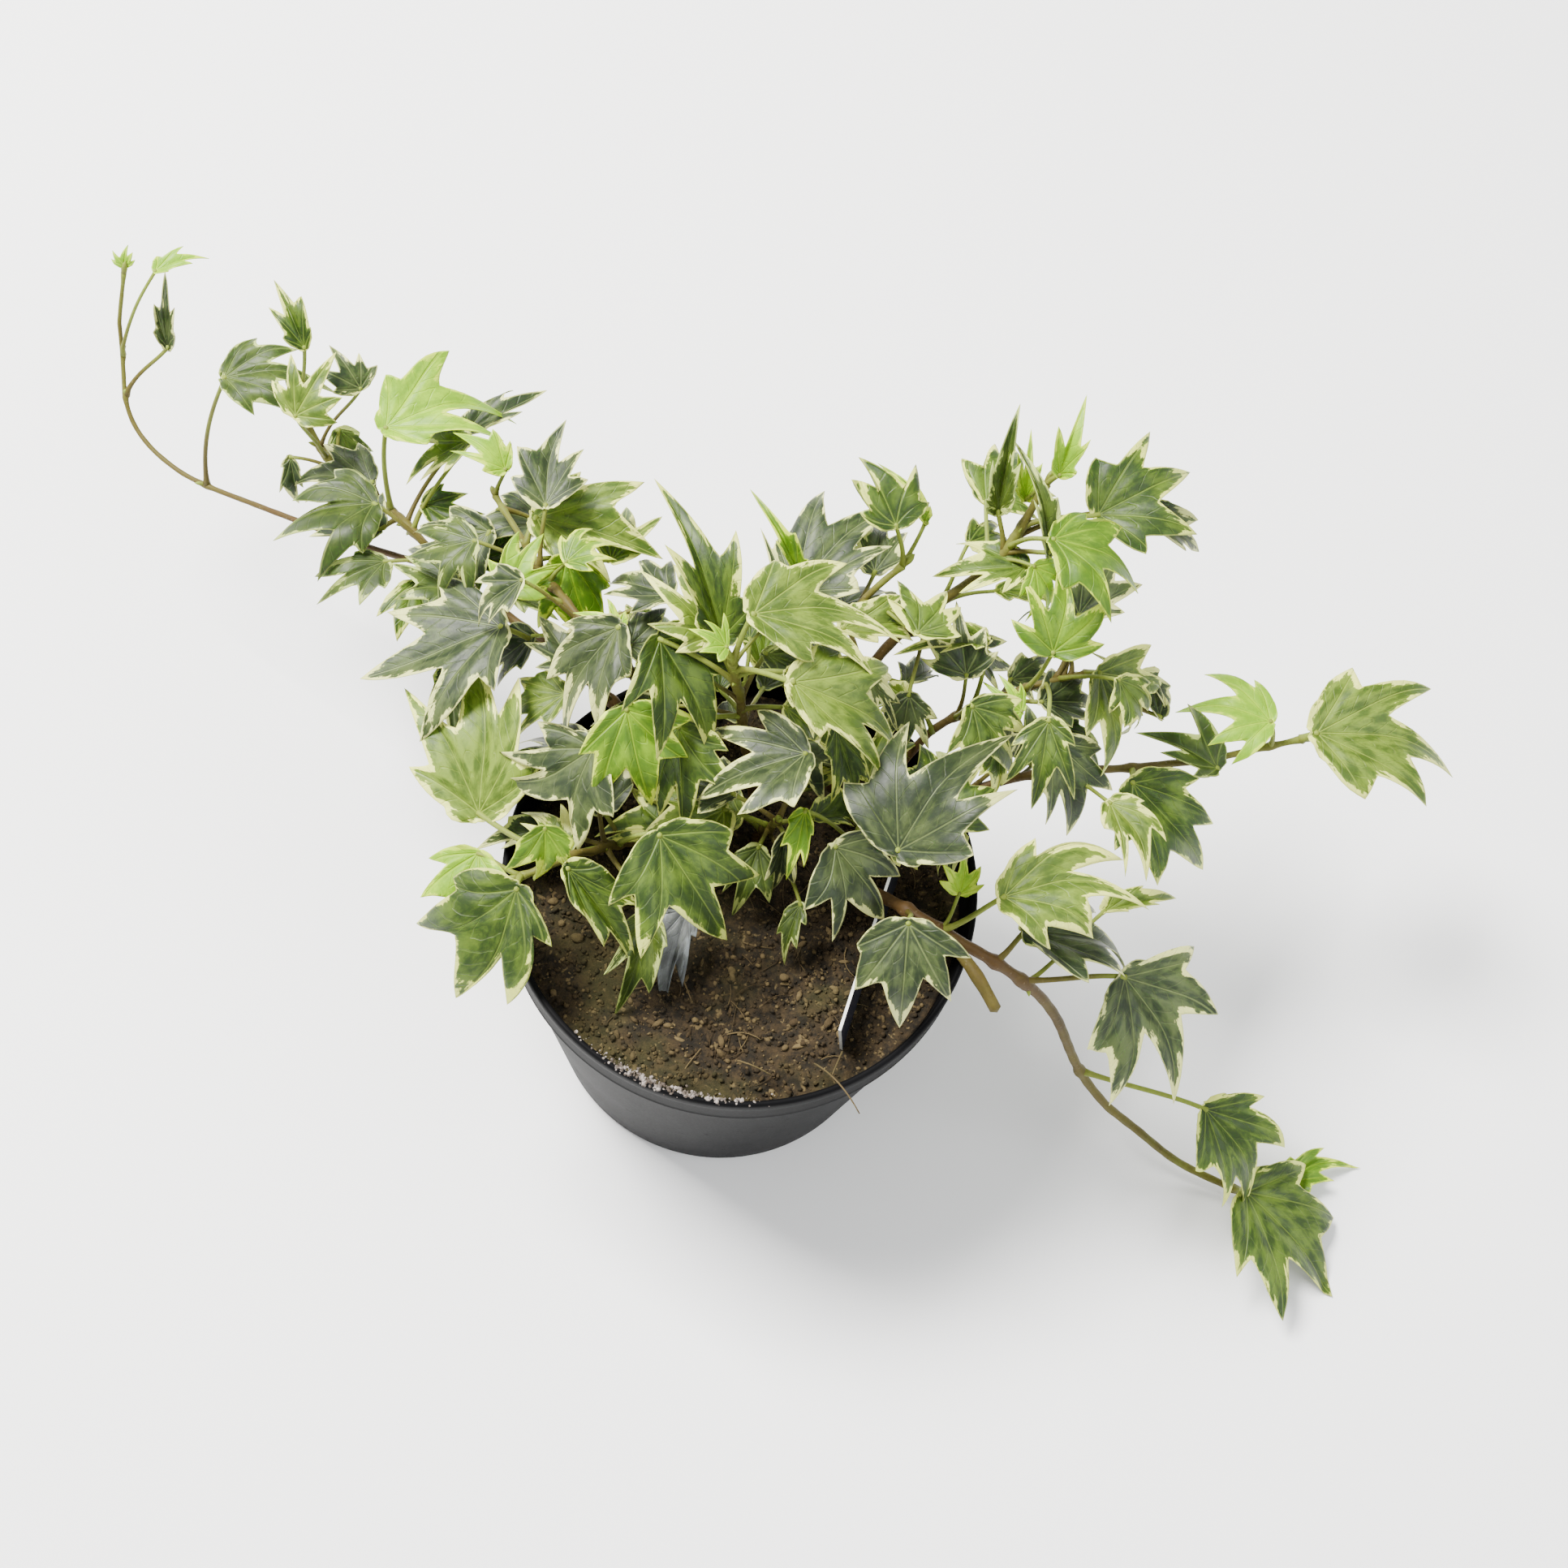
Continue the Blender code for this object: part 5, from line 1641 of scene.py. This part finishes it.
@dataclass
class Branch:
    """One shoot built up: its stem with swollen joints, stalks, and its blades."""

    shoot: Shoot
    soil: Soil
    finishes: dict[Tone, bpy.types.Material]
    stem_finish: bpy.types.Material
    number: int
    start_above_soil: float = 1.3
    foot_in_soil: float = 3.0
    tip_share: float = 0.6
    stub_at: float = 0.20
    stub_length: float = 23.4
    fine: Array = field(init=False)
    blades: list[Blade] = field(default_factory=list, init=False)

    def __post_init__(self) -> None:
        """Lay the smooth route; a first point without a height stands on the soil."""
        first = self.shoot.route[0]
        if self.from_soil:
            first = (*first, float(self.soil.level(*first)) + self.start_above_soil)
        self.fine = smooth_route(np.array([first, *self.shoot.route[1:]], float))

    @property
    def from_soil(self) -> bool:
        """Whether the shoot rises from the soil and not from another shoot."""
        return len(self.shoot.route[0]) == 2

    def stem(self) -> Sheet:
        """The stem: radius swells by a third at each joint and the line sways a little along its
        length.

        Returns:
            The closed tube, from just under the soil to the tip.
        """
        length = float(np.linalg.norm(np.diff(self.fine, axis=0), axis=1).sum())
        share = np.linspace(0, 1, max(12, int(length / 1.1)))
        spots, ahead = along_route(self.fine, share)
        side, over = carried_axes(ahead)
        joints = np.array(sorted({leaf.at for leaf in self.shoot.leaves}))
        reach = (share[:, None] - joints[None]) * length
        swell = np.exp(-(reach / 1.7) ** 2).max(1)
        luck = np.random.default_rng(900 + self.number)
        arch = np.sin(np.pi * share)
        sway = np.interp(share, np.linspace(0, 1, 14), luck.normal(0, 0.45, 14)) * arch
        rock = np.interp(share, np.linspace(0, 1, 11), luck.normal(0, 0.35, 11)) * arch
        spots = spots + side * sway[:, None] + over * rock[:, None]
        if self.from_soil:
            spots[0] -= np.array([0, 0, self.foot_in_soil])
        radii = self.shoot.radius * (1 - (1 - self.tip_share) * share) * (0.86 + 0.34 * swell)
        radii = radii * (1 + 0.05 * np.sin(share * length * 0.9) * luck.uniform(0.5, 1.0))
        return tube(spots, radii, 14, share * 0.72)

    def node(self, index: int) -> str:
        """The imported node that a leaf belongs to: its own when grown, else its shoot's."""
        grown = self.shoot.leaves[index].length >= LEAST_GROWN
        return f"leaf_{self.shoot.name}_{index + 1}" if grown else f"shoot_{self.shoot.name}"

    def seat_leaves(self, clouds: dict[str, Array]) -> None:
        """Find where every listed leaf settled.

        Args:
            clouds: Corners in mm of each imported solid, by node name.
        """
        self.blades = [
            Blade(leaf, Seating.found(self.shoot, self.fine, index, clouds[self.node(index)]),
                  self.number * 40 + index)
            for index, leaf in enumerate(self.shoot.leaves)]

    def build(self, taken: list[Array]) -> None:
        """Stem and stalks as one piece, grown blades one piece each, young ones together.

        Args:
            taken: Points that are already filled, which the inner leaves keep off.
        """
        name, own = self.shoot.name, f"shoot_{self.shoot.name}"
        wood, young, tones = [self.stem()], [], []
        count, reach_along = INNER_LEAVES.get(name, (0, 0.0))
        inner = Undergrowth(self.shoot, self.fine, count, reach_along,
                            300 + self.number).grow(taken, self.soil.pot)
        for index, blade in enumerate([*self.blades, *inner]):
            tone = blade.leaf.tone
            _, along = along_route(self.fine, np.array([blade.leaf.at]))
            wood.append(blade.stalk(along[0]))
            if index < len(self.blades) and self.node(index) != own:
                thing = make_object(f"blade_{name}_{index + 1}", [blade.sheet()],
                                    [self.finishes[tone]])
                settle_piece(thing, [self.node(index)])
            else:
                if tone not in tones:
                    tones.append(tone)
                young.append(blade.sheet(tones.index(tone)))
        if name == "trail":
            wood.append(self.stub())
        wood += self.bracts()
        settle_piece(make_object(f"stem_{name}", wood, [self.stem_finish]), [own])
        if young:
            thing = make_object(f"young_{name}", young, [self.finishes[tone] for tone in tones])
            settle_piece(thing, [own])

    def bracts(self) -> list[Sheet]:
        """Small pointed scales at the joints and a bud at the tip.

        Returns:
            A tapering tube for each.
        """
        luck = np.random.default_rng(700 + self.number)
        scales = []
        share = np.linspace(0, 1, 6)[:, None]
        for at in (*(leaf.at for leaf in self.shoot.leaves), 1.0):
            lean_by, lengths, girth = ((0.2, (3.5, 5.0), 0.85) if at >= 1.0
                                       else (0.75, (2.2, 3.6), 0.62))
            spot, ahead = along_route(self.fine, np.array([min(at, 0.995)]))
            point = unit(ahead[0] + unit(luck.normal(0, 1, 3)) * lean_by)
            reach = luck.uniform(*lengths)
            spots = spot[0] + point * reach * share + ahead[0] * 0.5 * np.sin(share * 3.0)
            radii = np.sin(np.pi * (0.18 + 0.80 * share[:, 0])) ** 0.8 * girth
            scales.append(tube(spots, radii, 7, 0.55 + 0.45 * share[:, 0]))
        return scales

    def stub(self) -> Sheet:
        """The short cut-off side stem that leaves the trail where it crosses the pot's rim.

        Returns:
            The closed tube.
        """
        foot, _ = along_route(self.fine, np.array([self.stub_at]))
        share = np.linspace(0, 1, 14)[:, None]
        reach = compass(-57.0, -7.5) * self.stub_length
        spots = foot + reach * share + np.array([0.6, 0.3, 1.0]) * np.sin(share * 3.1)
        radii = 1.55 + 0.25 * np.exp(-((share[:, 0] - 0.62) * 9) ** 2)
        return tube(spots, radii, 14, np.full(14, 0.42))


@dataclass
class Ivy:
    """The whole plant."""

    soil: Soil

    @staticmethod
    def clouds() -> dict[str, Array]:
        """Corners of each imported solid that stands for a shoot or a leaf.

        Returns:
            Corners in mm, by node name.
        """
        found = {}
        for name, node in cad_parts.items():
            if name.startswith(("shoot_", "leaf_")):
                flat = np.empty(len(node.data.vertices) * 3, np.float32)
                node.data.vertices.foreach_get("co", flat)
                found[name] = np.unique(np.round(flat.reshape(-1, 3) / MM, 2), axis=0)
        return found

    def build(self) -> None:
        """Every shoot with its leaves."""
        finishes = {tone: tone.value.material() for tone in Tone}
        bark = StemFinish().material()
        clouds = self.clouds()
        branches = [Branch(shoot, self.soil, finishes, bark, number)
                    for number, shoot in enumerate(SHOOTS)]
        taken: list[Array] = []
        for branch in branches:
            branch.seat_leaves(clouds)
            taken += [branch.fine, *(blade.samples() for blade in branch.blades)]
        for branch in branches:
            branch.build(taken)
        self.withered()

    def withered(self) -> None:
        """A dried grey leaf that hangs down onto the soil at the front."""
        leaf = Leaf(0, 0, 0, 0, -109, -16, 27, Form.SLIM, Tone.DULL)
        joint = np.array([-13.5, -8.5, self.soil.pot.height + 3.0])
        blade = Blade(leaf, Seating.level(joint, joint, leaf), 77)
        thing = make_object("withered_leaf", [blade.sheet()], [WITHERED.material()])
        settle_piece(thing, ["shoot_front_left"])


# ---------------------------------------------------------------------------------------------
# Studio
# ---------------------------------------------------------------------------------------------
@dataclass
class Studio:
    """Plain pale floor, soft light from above, and the camera."""

    camera_place: tuple[float, float, float] = (-48.4, -235.3, 665.0)
    aim: tuple[float, float, float] = (12.0, 27.0, 92.0)
    lens: float = 56.5
    floor_colour: Colour = (0.96, 0.96, 0.96)
    floor_reach: float = 3000.0
    lit_spot: tuple[float, float, float] = (0.01, 0.03, 0.09)

    def floor(self) -> None:
        """A flat square floor that reaches floor_reach mm each way."""
        corners = np.array([[-1, -1, 0], [1, -1, 0], [1, 1, 0], [-1, 1, 0]]) * self.floor_reach
        kit = Kit("studio_floor")
        finish = kit.finish(Base_Color=self.floor_colour, Roughness=0.9, Specular_IOR_Level=0.2)
        sheet = Sheet(corners.astype(float), np.array([[0, 1, 2, 3]]))
        make_object("studio_floor", [sheet], [finish])

    def lamp(self, name: str, place: tuple[float, float, float], size: float, power: float,
             tint: Colour) -> None:
        """A square soft lamp that faces the plant.

        Args:
            name: The lamp's name.
            place: Where it stands, in metres.
            size: Its side, in metres.
            power: Its power in watts.
            tint: Its colour.
        """
        light = bpy.data.lights.new(name, "AREA")
        light.shape, light.size, light.energy, light.color = "SQUARE", size, power, tint
        thing = bpy.data.objects.new(name, light)
        thing.location = place
        toward = Vector(self.lit_spot) - Vector(place)
        thing.rotation_euler = toward.to_track_quat("-Z", "Y").to_euler()
        bpy.context.scene.collection.objects.link(thing)

    def build(self) -> None:
        """Floor, lamps, sky and camera."""
        self.floor()
        self.lamp("key_lamp", (-0.7, 0.5, 1.5), 0.6, 110.0, (1.0, 0.985, 0.96))
        self.lamp("fill_lamp", (1.2, -0.8, 1.3), 1.2, 20.0, (0.95, 0.98, 1.0))
        world = bpy.data.worlds.new("studio_sky")
        world.use_nodes = True
        sky = world.node_tree.nodes["Background"]
        sky.inputs["Color"].default_value = (1.0, 1.0, 1.0, 1.0)
        sky.inputs["Strength"].default_value = 0.9
        bpy.context.scene.world = world
        self.camera()

    def camera(self) -> None:
        """A camera that looks down at the plant with the plant's own right kept level."""
        place = Vector(self.camera_place) * MM
        ahead = (Vector(self.aim) * MM - place).normalized()
        right = (Vector((1, 0, 0)) - ahead * ahead.x).normalized()
        up = right.cross(ahead)
        turn = Matrix((right, up, -ahead)).transposed()
        data = bpy.data.cameras.new("camera")
        data.lens = self.lens
        thing = bpy.data.objects.new("camera", data)
        thing.matrix_world = Matrix.Translation(place) @ turn.to_4x4()
        bpy.context.scene.collection.objects.link(thing)
        bpy.context.scene.camera = thing


def main() -> None:
    """Build every part in order, then the studio."""
    logging.basicConfig(level=logging.INFO, format="%(name)s: %(message)s")
    pot = Pot()
    pot.build()
    soil = Soil(pot)
    soil.build()
    soil.crust()
    LabelCard().build()
    Ivy(soil).build()
    Studio().build()


if __name__ == "__main__":
    main()
